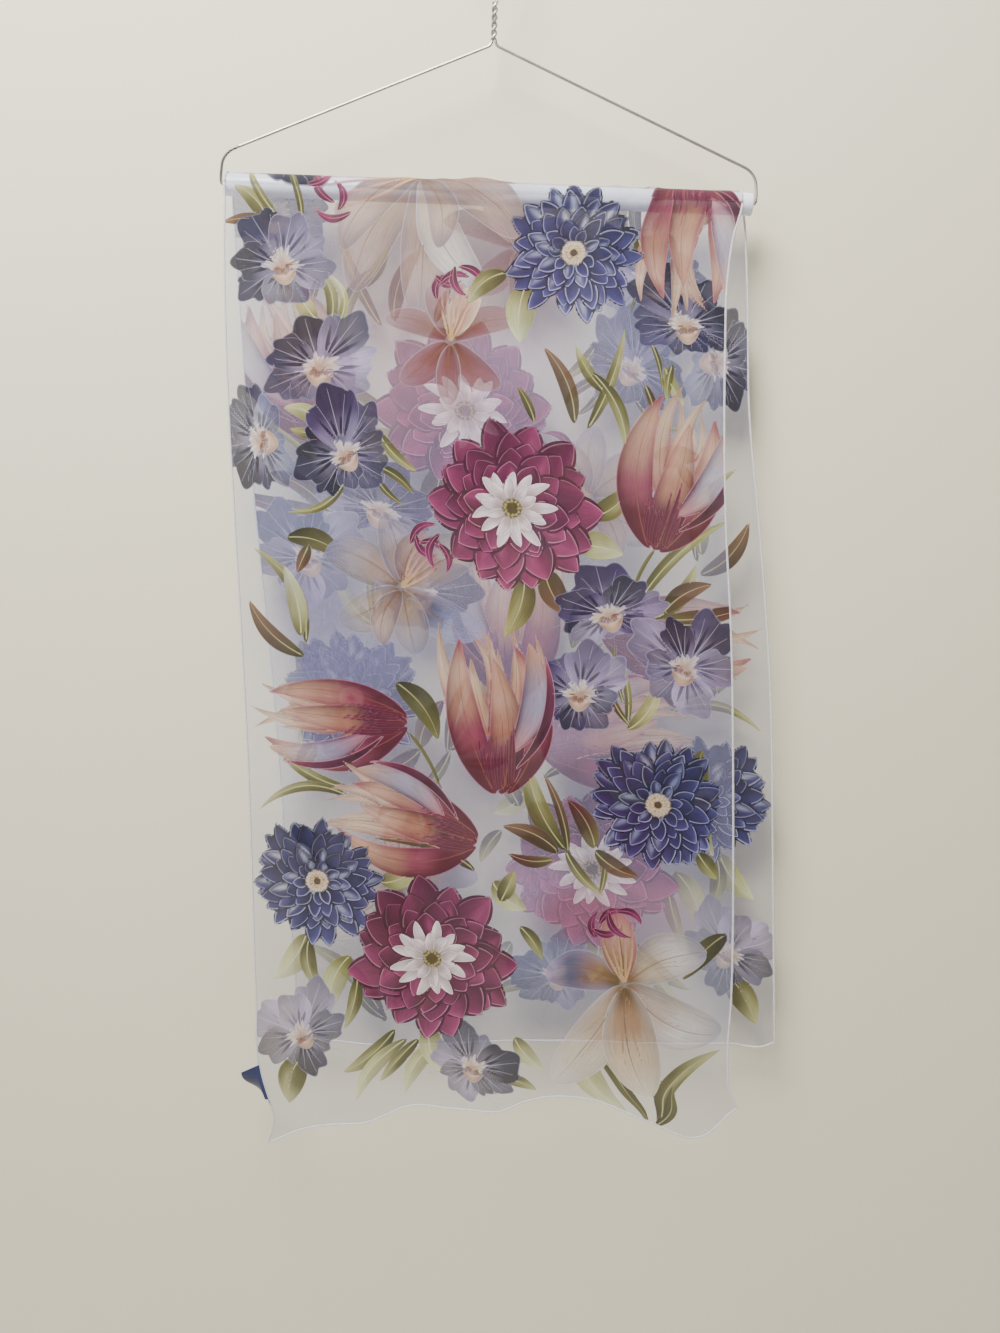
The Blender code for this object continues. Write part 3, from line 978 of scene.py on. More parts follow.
@dataclass(frozen=True)
class Lily:
    """Broad pale petals from one throat, with ribs and curled stamens.

    A petal's row: direction of its tip in degrees, length, half width, bow and inks. The
    stamens have a direction and a length.
    """

    centre: Point
    petals: tuple[tuple[float, float, float, float, tuple[Array, ...]], ...]
    seed: int
    stamens: tuple[float, float]
    throat: float = 8.0

    def draw(self, painter: Painter) -> None:
        """Print it."""
        rng = np.random.default_rng(self.seed)
        place = Place(*self.centre)
        for turn, length, width, bow, inks in self.petals:
            angle = math.radians(turn)
            Blade(
                place.at(3.0, angle), place.at(length, angle), width, inks, bow=bow, rise=0.62,
                fall=0.55, rim=blend(inks[-1], WHITE, 0.3), rim_width=1.1, side_light=0.14,
                seed=grain_seed(rng), vein=blend(inks[0], TAN, 0.5), vein_width=0.8,
                edge=blend(inks[0], inks[-1], 0.55),
            ).draw(painter)
            for lean in (-0.62, -0.3, 0.28, 0.6):
                start = place.at(length * 0.1, angle + 0.2 * lean)
                reach = length * rng.uniform(0.55, 0.86)
                end = place.at(reach, angle + lean * width / length)
                rib = blend(inks[1], inks[0], rng.uniform(0.15, 0.4))
                Blade(
                    start, end, width * 0.045, (rib, inks[1]), bow=bow, fall=1.2, rim=inks[1],
                    rim_width=1.5,
                ).draw(painter)
        throat = self.throat
        soft_spot(painter, place, throat * 2.6, throat, ink(132, 104, 58), throat, 0.75)
        self.draw_stamens(painter, rng)

    def draw_stamens(self, painter: Painter, rng: Random) -> None:
        """Pale filaments from the throat with curled magenta heads."""
        turn, length = self.stamens
        place = Place(*self.centre)
        for number, spread in enumerate((-16, -7, 2, 10, 19)):
            angle = math.radians(turn + spread * 0.8)
            head = place.at(length * rng.uniform(0.86, 1.06), angle)
            Blade(
                self.centre, head, 1.1, (ink(206, 176, 122), PEACH, DUSTY_ROSE), bow=spread * 0.004,
                rise=0.1, fall=0.2,
            ).draw(painter)
            swing = math.radians(turn + 90 + spread * 3.2 + (25 if number % 2 else -20))
            lean = 11.0 + 5.0 * rng.uniform()
            left = head[0] - math.cos(swing) * lean, head[1] - math.sin(swing) * lean
            right = head[0] + math.cos(swing) * lean, head[1] + math.sin(swing) * lean
            Blade(
                left, right, 3.4, (WINE, MAGENTA, blend(MAGENTA, ROSE, 0.4), WINE),
                bow=0.24 * (1 if number % 2 else -1), rise=0.5, fall=0.9, rim=PINK_RIM * [1, 1, 1, 0.5],
                rim_width=0.6, seed=float(number), vein=ink(206, 100, 150), vein_width=0.35,
            ).draw(painter)


class Leaf(NamedTuple):
    """A leaf or strap: foot, tip, half width, bow and its tone."""

    foot: Point
    tip: Point
    width: float
    bow: float
    tone: str = "olive"


LEAF_INKS = {
    "olive": (DARK_OLIVE, OLIVE, LIME), "dark": (ink(92, 90, 60), ink(112, 110, 72), OLIVE),
    "pale": (OLIVE, LIME, PALE_GREEN), "brown": (DARK_OLIVE, BROWN, ink(140, 108, 84)),
    "tipped": (OLIVE, BROWN, BURGUNDY), "stem": (OLIVE, OLIVE, DARK_OLIVE),
}


def draw_leaf(painter: Painter, leaf: Leaf, seed: float) -> None:
    """Print a leaf with a pale rib, one half darker, and a lit patch on the other."""
    inks = LEAF_INKS[leaf.tone]
    slim = leaf.width < 2.2
    Blade(
        leaf.foot, leaf.tip, leaf.width, inks, bow=leaf.bow, rise=0.25 if slim else 0.6,
        fall=0.45 if slim else 0.85, rim=blend(inks[2], LIME, 0.4) * [1, 1, 1, 0.55], rim_width=0.7,
        side_light=0.3, seed=seed, vein=None if slim else blend(inks[2], ink(214, 214, 160), 0.55),
        vein_width=0.55, lit=None if slim else inks[2],
    ).draw(painter)


class Wash(NamedTuple):
    """A soft tint on the ground: middle, half sizes, turn in degrees, ink and strength."""

    across: float
    along: float
    half_across: float
    half_along: float
    turn: float
    tint: Array
    strength: float


def draw_wash(painter: Painter, wash: Wash) -> None:
    """Tint an oval that fades over about half of its own size."""
    place = Place(wash.across, wash.along, wash.turn, wash.half_along / wash.half_across)
    reach = max(wash.half_across, wash.half_along)
    across = wash.half_across
    soft_spot(painter, place, reach * 1.6, across, wash.tint, across * 0.5, wash.strength)


# ---- the design


def blue(across: float, along: float, radius: float, seed: int, **more: float) -> Dahlia:
    """A blue dahlia, slightly tipped."""
    return Dahlia(Place(across, along, 20, 0.95), radius, DahliaKind.BLUE, seed, **more)


def magenta(across: float, along: float, radius: float, seed: int) -> Dahlia:
    """A magenta dahlia."""
    return Dahlia(Place(across, along, 0, 0.96), radius, DahliaKind.MAGENTA, seed)


def petunia(
    across: float, along: float, radius: float, turn: float, squash: float, tones: str, seed: int,
    **more: float,
) -> Petunia:
    """A petunia whose lobes run through five tones: n, s, d, l, v, b or p, in order."""
    inks = {"n": NAVY, "s": SLATE, "d": DUSK, "l": LAVENDER, "v": VIOLET, "b": BLUE, "p": PALE_BLUE}
    softened = tuple(blend(inks[tone], DUSK, 0.12) for tone in tones)
    return Petunia(Place(across, along, turn, squash), radius, softened, seed, **more)


BEIGE = (
    ink(124, 96, 84, 0.84), ink(166, 140, 130, 0.78), ink(186, 162, 156, 0.68),
    ink(162, 144, 156, 0.74),
)
ROSY = (ink(122, 78, 66), ink(150, 100, 96, 0.84), ink(164, 120, 128, 0.76), ink(176, 142, 156, 0.68))
MISTY = (
    ink(140, 116, 88, 0.86), ink(178, 156, 138, 0.7), ink(176, 166, 174, 0.56),
    ink(150, 150, 180, 0.56),
)
GLOWING = (
    ink(112, 88, 52), ink(178, 144, 102, 0.86), ink(202, 182, 158, 0.74), ink(208, 196, 186, 0.62),
)
SNOWY = (TAN, ink(196, 180, 168, 0.66), ink(214, 208, 206, 0.6), ink(176, 174, 188, 0.66))

LILIES = (
    Lily(
        (-48, -14),
        (
            (152, 74, 17, -0.10, BEIGE), (118, 104, 19, 0.08, BEIGE), (30, 92, 19, -0.12, BEIGE),
            (88, 112, 20, -0.05, BEIGE), (58, 100, 16, 0.10, SNOWY), (134, 84, 15, 0.14, BEIGE),
            (72, 60, 12, -0.14, BEIGE),
        ),
        seed=1, stamens=(168, 74),
    ),
    Lily(
        (-20, 112),
        (
            (196, 54, 10, 0.10, ROSY), (-18, 58, 11, -0.12, ROSY), (140, 52, 12, -0.05, ROSY),
            (42, 52, 12, 0.10, ROSY), (-112, 44, 11, 0.05, ROSY),
            (-62, 46, 11, -0.05, (ink(160, 92, 62), APRICOT, PEACH, CREAM)), (92, 50, 10, 0.02, ROSY),
        ),
        seed=2, stamens=(-86, 46), throat=5.0,
    ),
    Lily(
        (-66, 304),
        (
            (205, 66, 17, 0.08, MISTY), (-28, 72, 19, -0.08, MISTY), (150, 60, 16, -0.08, MISTY),
            (28, 74, 16, 0.10, (TAN, DUSK, PALE_BLUE, PALE_BLUE)), (-100, 58, 13, 0.04, MISTY),
            (80, 54, 15, 0.0, MISTY), (-64, 50, 11, -0.12, BEIGE), (112, 50, 11, 0.12, BEIGE),
        ),
        seed=3, stamens=(-50, 46), throat=6.0,
    ),
    Lily(
        (108, 622),
        (
            (186, 66, 17, 0.10, (BROWN, TAN, DUSK, LAVENDER)), (-24, 74, 20, -0.12, SNOWY),
            (
                124, 104, 21, -0.08,
                (TAN, ink(190, 168, 142, 0.76), ink(210, 198, 184, 0.64), ink(206, 202, 204, 0.6)),
            ),
            (26, 92, 21, 0.12, SNOWY),
            (-98, 62, 15, 0.0, (BROWN, ink(186, 150, 112, 0.8), PEACH, DUSTY_ROSE)),
            (78, 98, 23, 0.04, GLOWING),
        ),
        seed=4, stamens=(-101, 52), throat=9.0,
    ),
)

LEAVES = tuple(
    Leaf(*row)
    for row in (
        ((-164, 30), (-191, 2), 7, 0.12), ((-158, 33), (-199, 30), 5.5, 0.10, "brown"),
        ((-155, 26), (-180, -16), 3.4, -0.08), ((-138, 31), (-153, -22), 2.8, 0.06, "dark"),
        ((-118, 110), (-130, 58), 5, 0.20), ((-112, 108), (-124, 62), 3.4, 0.30, "pale"),
        ((-126, 100), (-140, 76), 7, -0.10, "pale"), ((-120, 181), (-154, 168), 7, 0.10, "pale"),
        ((-120, 184), (-150, 184), 5, -0.10), ((-80, 182), (-48, 214), 4.5, 0.08),
        ((-82, 210), (-52, 232), 4, -0.10, "dark"), ((-84, 214), (-60, 240), 3, 0.10, "dark"),
        ((-105, 218), (-157, 248), 3.4, -0.18), ((24, 60), (-6, 84), 8, 0.12),
        ((40, 68), (35, 112), 12, 0.05, "pale"), ((124, 30), (136, 64), 8, -0.05, "dark"),
        ((88, 176), (118, 98), 4.6, 0.05), ((78, 172), (53, 114), 6.5, 0.10, "brown"),
        ((104, 148), (79, 112), 5, -0.08), ((92, 132), (118, 200), 5.5, -0.14),
        ((136, 104), (148, 148), 2.2, -0.08, "dark"), ((150, 126), (166, 156), 5, 0.05, "pale"),
        ((156, 124), (152, 154), 3.5, 0.05), ((134, 140), (144, 172), 3.4, -0.05, "brown"),
        ((46, 172), (32, 144), 3.6, 0.05, "dark"), ((88, 244), (122, 218), 9, 0.10),
        ((76, 266), (114, 272), 11, -0.08, "pale"), ((34, 288), (14, 341), 10, -0.10),
        ((50, 286), (68, 322), 11, 0.08, "brown"), ((122, 313), (202, 242), 5, -0.08),
        ((139, 268), (117, 312), 1.6, 0.06, "stem"), ((136, 322), (172, 278), 6.5, 0.10),
        ((143, 317), (184, 293), 7.5, -0.10, "brown"), ((143, 322), (216, 308), 6.5, 0.05, "tipped"),
        ((139, 328), (214, 331), 2.8, -0.05, "tipped"), ((112, 410), (106, 350), 3.2, 0.06),
        ((114, 408), (96, 366), 3.0, -0.10, "brown"), ((112, 412), (138, 368), 6.5, 0.12, "pale"),
        ((110, 392), (103, 340), 2.2, -0.06, "dark"), ((-146, 352), (-186, 276), 5.4, 0.16),
        ((-148, 362), (-190, 318), 7, -0.12, "brown"), ((-150, 346), (-160, 290), 7.5, 0.05, "pale"),
        ((-156, 268), (-110, 284), 8.5, -0.14, "dark"), ((-139, 274), (-150, 296), 5, 0.0, "brown"),
        ((-74, 380), (-42, 426), 10, -0.12, "dark"), ((-66, 420), (-40, 470), 1.6, -0.06, "stem"),
        ((-112, 468), (-176, 435), 4.6, -0.10), ((-116, 474), (-190, 488), 4.2, 0.18),
        ((60, 512), (30, 436), 9, -0.10), ((62, 514), (42, 448), 4, 0.06, "brown"),
        ((60, 512), (92, 550), 4.6, 0.08), ((54, 514), (8, 494), 7.5, 0.10, "brown"),
        ((50, 520), (12, 516), 5, -0.10, "tipped"), ((84, 510), (62, 470), 8, 0.08, "tipped"),
        ((88, 548), (92, 510), 2.6, 0.05, "stem"), ((0, 540), (28, 562), 9, 0.10, "pale"),
        ((6, 556), (18, 530), 7, 0.0), ((22, 576), (40, 604), 5.6, -0.08),
        ((-14, 532), (-96, 508), 5.6, 0.10, "brown"), ((-92, 544), (-60, 528), 9, 0.10, "pale"),
        ((-118, 606), (-136, 652), 10, 0.10, "pale"), ((-112, 622), (-124, 668), 6, -0.05),
        ((-82, 668), (-128, 706), 6.5, -0.08), ((-72, 676), (-124, 730), 6, 0.06, "pale"),
        ((-62, 676), (-98, 712), 5, 0.0), ((-46, 678), (-80, 722), 7, 0.06, "pale"),
        ((-54, 664), (-44, 704), 10, 0.05, "pale"), ((-160, 694), (-182, 734), 11, 0.05),
        ((-154, 590), (-182, 628), 10, -0.10, "pale"), ((-152, 594), (-145, 636), 7, 0.10),
        ((2, 706), (34, 715), 5.5, -0.10), ((18, 670), (42, 698), 7, 0.05, "pale"),
        ((86, 680), (118, 742), 6, -0.08, "dark"), ((126, 744), (192, 676), 7, -0.12),
        ((124, 742), (150, 706), 5, 0.10, "dark"), ((68, 678), (102, 734), 12, 0.06, "pale"),
        ((192, 578), (156, 616), 9, 0.05, "dark"), ((162, 466), (172, 426), 11, 0.0, "dark"),
        ((172, 470), (182, 514), 6, 0.10, "pale"), ((168, 510), (184, 532), 7, 0.0),
        ((84, 512), (120, 532), 7, 0.08, "brown"), ((134, -22), (158, 0), 7, 0.0, "pale"),
        ((150, 46), (122, 88), 2.4, 0.10, "stem"),
    )
)

TULIPS = (
    Tulip((139, 268), (172, 148), 34, 11, edge_side=1.0),
    Tulip((-66, 412), (-190, 408), 27, 12, bow=-0.05, edge_side=-1.0),
    Tulip((8, 468), (0, 336), 33, 13, bow=0.04, edge_side=1.0),
    Tulip((-12, 508), (-128, 478), 29, 14, bow=-0.06, edge_side=1.0),
    Tulip((158, -30), (168, 84), 30, 15, edge_side=-1.0),
)

PETUNIAS = (
    petunia(-152, 60, 45, -35, 0.88, "ldsns", 21, throat_turn=115),
    petunia(-124, 136, 49, -20, 0.74, "lddns", 22, throat_turn=115),
    petunia(-174, 194, 47, 80, 0.66, "ssdsp", 23, throat_turn=-70),
    petunia(-107, 202, 43, -60, 0.84, "vdnns", 24, throat_turn=120),
    petunia(166, 94, 45, 20, 0.76, "nbdss", 25, throat_out=0.26, throat_turn=60),
    petunia(99, 320, 46, -14, 0.64, "vlnvs", 26, throat_out=0.26, throat_turn=84),
    petunia(74, 384, 42, 150, 0.92, "vvlds", 27, throat_turn=-50),
    petunia(160, 360, 45, 40, 0.86, "ldlsv", 28, throat_turn=70),
    petunia(-160, 675, 38, 110, 0.92, "dllds", 29, throat_turn=-50),
    petunia(-18, 698, 38, 30, 0.88, "sdlds", 30, throat_turn=70),
)

DAHLIAS = (
    blue(75, 43, 53, 41, dusk=0.9, violet=0.15), magenta(26, 239, 69, 42),
    blue(136, 472, 57, 43, violet=0.9, violet_side=130.0), blue(-144, 545, 53, 44, dusk=0.6),
    magenta(-51, 607, 68, 45),
)

WASHES = (
    Wash(-20, 60, 110, 62, 0, ink(150, 124, 132, 0.52), 0.9), Wash(30, 150, 70, 50, 20, LILAC, 0.55),
    Wash(-60, 140, 60, 50, 0, ink(214, 170, 182, 0.30), 0.45),
    Wash(128, 100, 50, 34, 70, PALE_BLUE, 0.4), Wash(-150, 258, 46, 30, 10, PALE_BLUE, 0.6),
    Wash(-30, 300, 70, 40, -20, ink(190, 184, 206, 0.30), 0.5),
    Wash(-120, 352, 56, 50, 0, PERIWINKLE, 0.45), Wash(60, 405, 46, 30, -10, LILAC, 0.65),
    Wash(20, 290, 20, 70, 10, LILAC, 0.3), Wash(36, 542, 34, 26, 20, LILAC, 0.8),
    Wash(124, 560, 50, 26, 10, ink(210, 178, 200, 0.30), 0.7),
    Wash(70, 566, 30, 24, 0, ink(206, 128, 150, 0.30), 0.55), Wash(44, 612, 50, 26, 15, PALE_BLUE, 0.7),
    Wash(178, 620, 34, 60, 0, ink(206, 210, 222, 0.30), 0.5),
    Wash(-190, 60, 24, 120, 0, ink(214, 216, 228, 0.30), 0.5),
    Wash(-180, 430, 26, 90, 0, ink(222, 224, 234, 0.30), 0.5),
    # Painted shade: these three large lavender-grey washes darken the ground.
    Wash(-60, 470, 90, 60, 20, ink(164, 156, 184, 0.30), 0.7),
    Wash(60, 200, 60, 60, 0, ink(170, 158, 184, 0.30), 0.6),
    Wash(60, 660, 90, 50, 0, ink(168, 166, 182, 0.30), 0.6),
    Wash(0, 742, 200, 26, 0, ink(206, 206, 216, 0.30), 0.6),
)

REPEAT_TURN = 46.0
REPEAT_FROM = 90.0


def paint(painter: Painter) -> None:
    """Print the whole design: its half-turned repeat down the back, then the front's."""
    across, along = painter.across, painter.along
    if along.min() < 0.0:
        painter.across, painter.along = -across, REPEAT_TURN - along
        draw_leaves(painter, REPEAT_FROM)
        for motif in (*LILIES, *TULIPS, *PETUNIAS, *DAHLIAS):
            if lowest(motif) > REPEAT_FROM:
                motif.draw(painter)
        painter.across, painter.along = across, along
    for wash in WASHES:
        draw_wash(painter, wash)
    for lily in LILIES[:2]:
        lily.draw(painter)
    draw_leaves(painter)
    for group in (LILIES[2:3], TULIPS[:2], PETUNIAS, TULIPS[2:], LILIES[3:], DAHLIAS):
        for motif in group:
            motif.draw(painter)


def draw_leaves(painter: Painter, beyond: float = -math.inf) -> None:
    """Print each leaf whose foot lies further along the cloth than this."""
    for number, leaf in enumerate(LEAVES):
        if leaf.foot[1] > beyond:
            draw_leaf(painter, leaf, float(number))


def lowest(motif: Any) -> float:
    """How far along the cloth a motif lies."""
    if isinstance(motif, Lily):
        return motif.centre[1]
    if isinstance(motif, Tulip):
        return min(motif.cup[1], motif.tips[1])
    return motif.place.along


# ---- finishes


@dataclass(frozen=True)
class ChiffonFinish:
    """Sheer printed crepe chiffon: open, fine and slightly hazy."""

    open_density: float = 0.11
    full_density: float = 0.97
    thread: float = 0.00055
    grain_share: float = 0.42

    def make(self, name: str, size: tuple[float, float]) -> Material:
        """Build the material of one stretch.

        Args:
            name: The material's name.
            size: Flat width and length of the stretch in metres.

        Returns:
            The material.
        """
        graph = Graph(name)
        top, under = graph.attribute("print_top"), graph.attribute("print_under")
        rim, line_ink = graph.attribute("print_rim"), graph.attribute("print_ink")
        edge, line = graph.number("print_edge"), graph.number("print_line")
        grain = graph.attribute("print_grain").outputs["Vector"]
        across, along = graph.flat(size)

        streak = graph.noise(grain, 1.0, 3.0, 0.6)
        shade = (streak - 0.5) * (2.0 * self.grain_share) + 1.0
        petal = graph.scaled(top.outputs["Color"], shade)
        on_rim = ((edge + 1.0).clamped() ** 1.3) * Value(graph, rim.outputs["Alpha"])
        petal = graph.mix(on_rim, petal, rim.outputs["Color"])

        covered = (0.5 - edge * 5.0).clamped()
        colour = graph.mix(covered, under.outputs["Color"], petal)
        top_share, under_share = (Value(graph, made.outputs["Alpha"]) for made in (top, under))
        density = under_share + (top_share - under_share) * covered
        on_line = ((1.2 - line.size()) * 3.0).clamped()
        colour = graph.mix(on_line * 0.8, colour, line_ink.outputs["Color"])
        density = density + (Value(graph, line_ink.outputs["Alpha"]) - density) * on_line * 0.8

        cloth = graph.joined(across, along)
        slub = graph.noise(graph.joined(across, along * 6.0), 260.0, 2.0)
        crepe = graph.noise(cloth, 900.0, 2.0, 0.6)
        weave = (across * (TAU / self.thread)).sine() * (along * (TAU / self.thread)).sine()
        colour = graph.scaled(colour, 0.94 + 0.08 * crepe + 0.03 * slub)
        alpha = self.open_density + density * (self.full_density - self.open_density)
        alpha = (alpha + (crepe - 0.5) * 0.10 + weave * 0.03).clamped()
        height = crepe * 0.7 + slub * 0.3 + weave * 0.25
        return graph.principled({
            "Base Color": colour, "Roughness": 0.72 + 0.12 * crepe, "Alpha": alpha,
            "Normal": graph.bump(height, 0.35, 0.00025), "Specular IOR Level": 0.25,
            "Sheen Weight": 0.18, "Sheen Roughness": 0.5, "Sheen Tint": (0.95, 0.95, 1.0, 1.0),
        })


@dataclass(frozen=True)
class HemFinish:
    """A narrow rolled hem of the same white cloth, denser where it is rolled and stitched."""

    stitch: float = 0.0028

    def make(self) -> Material:
        """Build the material: stitches are bands along the hem, and its cloth is uneven."""
        graph = Graph("rolled_hem")
        at = graph.place()
        side, _, height = graph.split(at)
        bands = ((side + height) * (TAU / self.stitch)).sine()
        cloth = graph.noise(at, 520.0, 2.0)
        colour = graph.mix(cloth, (0.62, 0.61, 0.66, 1.0), (0.86, 0.86, 0.90, 1.0))
        return graph.principled({
            "Base Color": graph.scaled(colour, 0.96 + 0.05 * bands), "Roughness": 0.6 + 0.15 * cloth,
            "Alpha": (0.60 + 0.22 * cloth).clamped(),
            "Normal": graph.bump(bands * 0.5 + cloth, 0.5, 0.0003), "Sheen Weight": 0.2,
        })


@dataclass(frozen=True)
class SatinFinish:
    """Navy woven satin: a fine sheen across, a pale painted highlight along one long edge and the foot,
    and nothing woven into it.
    """

    thread: float = 0.0004

    def make(self) -> Material:
        """Build the material: threads run down it, and a pale painted highlight runs along its long edge
        at the hem and across its foot.
        """
        graph = Graph("label_satin")
        across, down = graph.number("label_across"), graph.number("label_down")
        threads = (down * (TAU / self.thread)).sine()
        nap = graph.noise(graph.joined(across * 300.0, down * 2500.0), 1.0, 2.0)
        # Painted highlight: a pale band along the long edge at the hem and along the foot.
        painted_edge_highlight = (0.00075 - across).above(0.0, 0.0002) + (down - 0.0291).above(0.0, 0.0003)
        navy = graph.mix(nap, (0.006, 0.009, 0.045, 1.0), (0.02, 0.03, 0.12, 1.0))
        return graph.principled({
            "Base Color": graph.mix(painted_edge_highlight.clamped(), navy, (0.55, 0.58, 0.66, 1.0)),
            "Roughness": 0.34 + 0.16 * nap, "Normal": graph.bump(threads * 0.5 + nap, 0.5, 0.00008),
            "Sheen Weight": 0.15, "Anisotropic": 0.4,
        })


@dataclass(frozen=True)
class TubeFinish:
    """Glossy bluish-white plastic tube with faint lengthwise drawing marks and scuffs."""

    def make(self) -> Material:
        """Build the material: marks are noise stretched along the bar."""
        graph = Graph("tube_white")
        at = graph.place()
        stretched = graph.node("ShaderNodeMapping", {}, {0: at, "Scale": (6.0, 260.0, 260.0)})
        marks = graph.noise(stretched.outputs[0], 1.0, 3.0)
        scuff = graph.noise(at, 140.0, 4.0, 0.65)
        colour = graph.mix(scuff, (0.74, 0.78, 0.90, 1.0), (0.88, 0.90, 0.96, 1.0))
        return graph.principled({
            "Base Color": graph.scaled(colour, 0.96 + 0.06 * marks), "Roughness": 0.18 + 0.2 * scuff,
            "Normal": graph.bump(marks + scuff * 0.4, 0.25, 0.0002), "Coat Weight": 0.35,
            "Coat Roughness": 0.12, "IOR": 1.5,
        })


@dataclass(frozen=True)
class WireFinish:
    """Drawn steel wire, dulled with handling, cut with a thread where it enters the bar."""

    end_from: float = 0.1985
    thread: float = 0.0016

    def make(self) -> Material:
        """Build the material.

        The thread is a sine of height plus depth, shown only past end_from on either side. It drives the
        bump, and its grooves are painted near black as painted shade.
        """
        graph = Graph("wire_steel")
        at = graph.place()
        side, depth, height = graph.split(at)
        ends = side.size().above(self.end_from - 0.002, self.end_from)
        turns = ((height + depth * 1.2) * (TAU / self.thread)).sine() * 0.5 + 0.5
        drawn = graph.noise(at, 700.0, 3.0, 0.6)
        tarnish = graph.noise(at, 90.0, 3.0)
        colour = graph.mix(tarnish, (0.30, 0.29, 0.27, 1.0), (0.52, 0.51, 0.49, 1.0))
        # Painted shade: the thread's grooves are darkened to near black.
        colour = graph.mix(ends * (1.0 - turns) * 0.85, colour, (0.045, 0.042, 0.04, 1.0))
        return graph.principled({
            "Base Color": colour, "Metallic": 0.92, "Roughness": 0.28 + 0.2 * drawn,
            "Normal": graph.bump(drawn * 0.3 + ends * turns, 0.5, 0.0003),
        })


# ---- the scarf


# Rows of EDGES, in mm: how far below the bar's middle, x of the left edge, x of the right edge.
# Rows of HEM: share of the width from the left, and how far below the bar's middle in mm.
# Rows of CREASES, in mm: x where a crease starts, x where it ends, drop where it starts, drop
# where it ends, half width, how far it stands out where it starts, and where it ends.
FRONT_EDGES = np.array([
    (-10, -208, 186.5), (8, -208, 187.5), (33, -209, 181), (62, -209.5, 177.5), (120, -209.5, 176.5),
    (250, -206, 179.5), (330, -203, 185), (440, -200, 189), (640, -197.5, 192), (700, -195.5, 190.5),
    (722, -189.5, 193), (735, -185, 200), (765, -190.5, 206),
])
BACK_EDGES = np.array([
    (-10, -205, 187.5), (14, -205, 192), (60, -203, 195.5), (165, -198, 199.5), (280, -190, 212),
    (350, -184, 218.5), (550, -172, 227), (700, -164, 232),
])
FRONT_HEM = np.array([
    (0.0, 761), (0.07, 750), (0.2, 744), (0.28, 732), (0.4, 733.5), (0.49, 734.5), (0.55, 726),
    (0.7, 727), (0.8, 744), (0.915, 756), (0.965, 742), (1.0, 733.5),
])
BACK_HEM = np.array(
    [(0.0, 678), (0.2, 686), (0.45, 680), (0.7, 684), (0.9, 684), (0.95, 687), (1.0, 682)]
)
FRONT_CREASES = np.array([
    (-14, 52, 0, 120, 17, 4.5, 0.5), (-42, -6, 0, 70, 7, 1.5, 0.3), (92, 84, 0, 60, 6, 1.6, 0.2),
    (119, 123, 0, 85, 6, 1.8, 0.3), (176, 168, 70, 330, 9, -1.5, 1.5),
    (-120, -96, 260, 765, 26, 0.5, 3.0), (-60, -72, 420, 765, 20, -0.4, -2.8),
    (30, 18, 300, 765, 26, 0.6, 3.2), (88, 70, 420, 765, 24, -0.3, -2.6),
    (150, 150, 380, 765, 22, 0.5, 3.4), (186, 197, 520, 765, 12, -0.3, -3.4),
    (-192, -186, 620, 765, 9, 0.4, 3.0),
])
BACK_CREASES = np.array([
    (-70, -60, 0, 90, 14, 2.4, 0.4), (182, 205, 0, 690, 10, 1.2, 3.2),
    (205, 223, 200, 690, 8, -0.5, -2.4), (-130, -90, 160, 690, 24, 0.5, 3.2),
    (-30, 0, 240, 690, 26, -0.5, -2.8), (70, 92, 120, 690, 22, 0.5, 3.0),
    (140, 160, 260, 690, 18, -0.4, -2.4),
])


class Stretch(NamedTuple):
    """One stretch as a grid: its points and its flat positions in millimetres."""

    points: Array
    across: Array
    along: Array


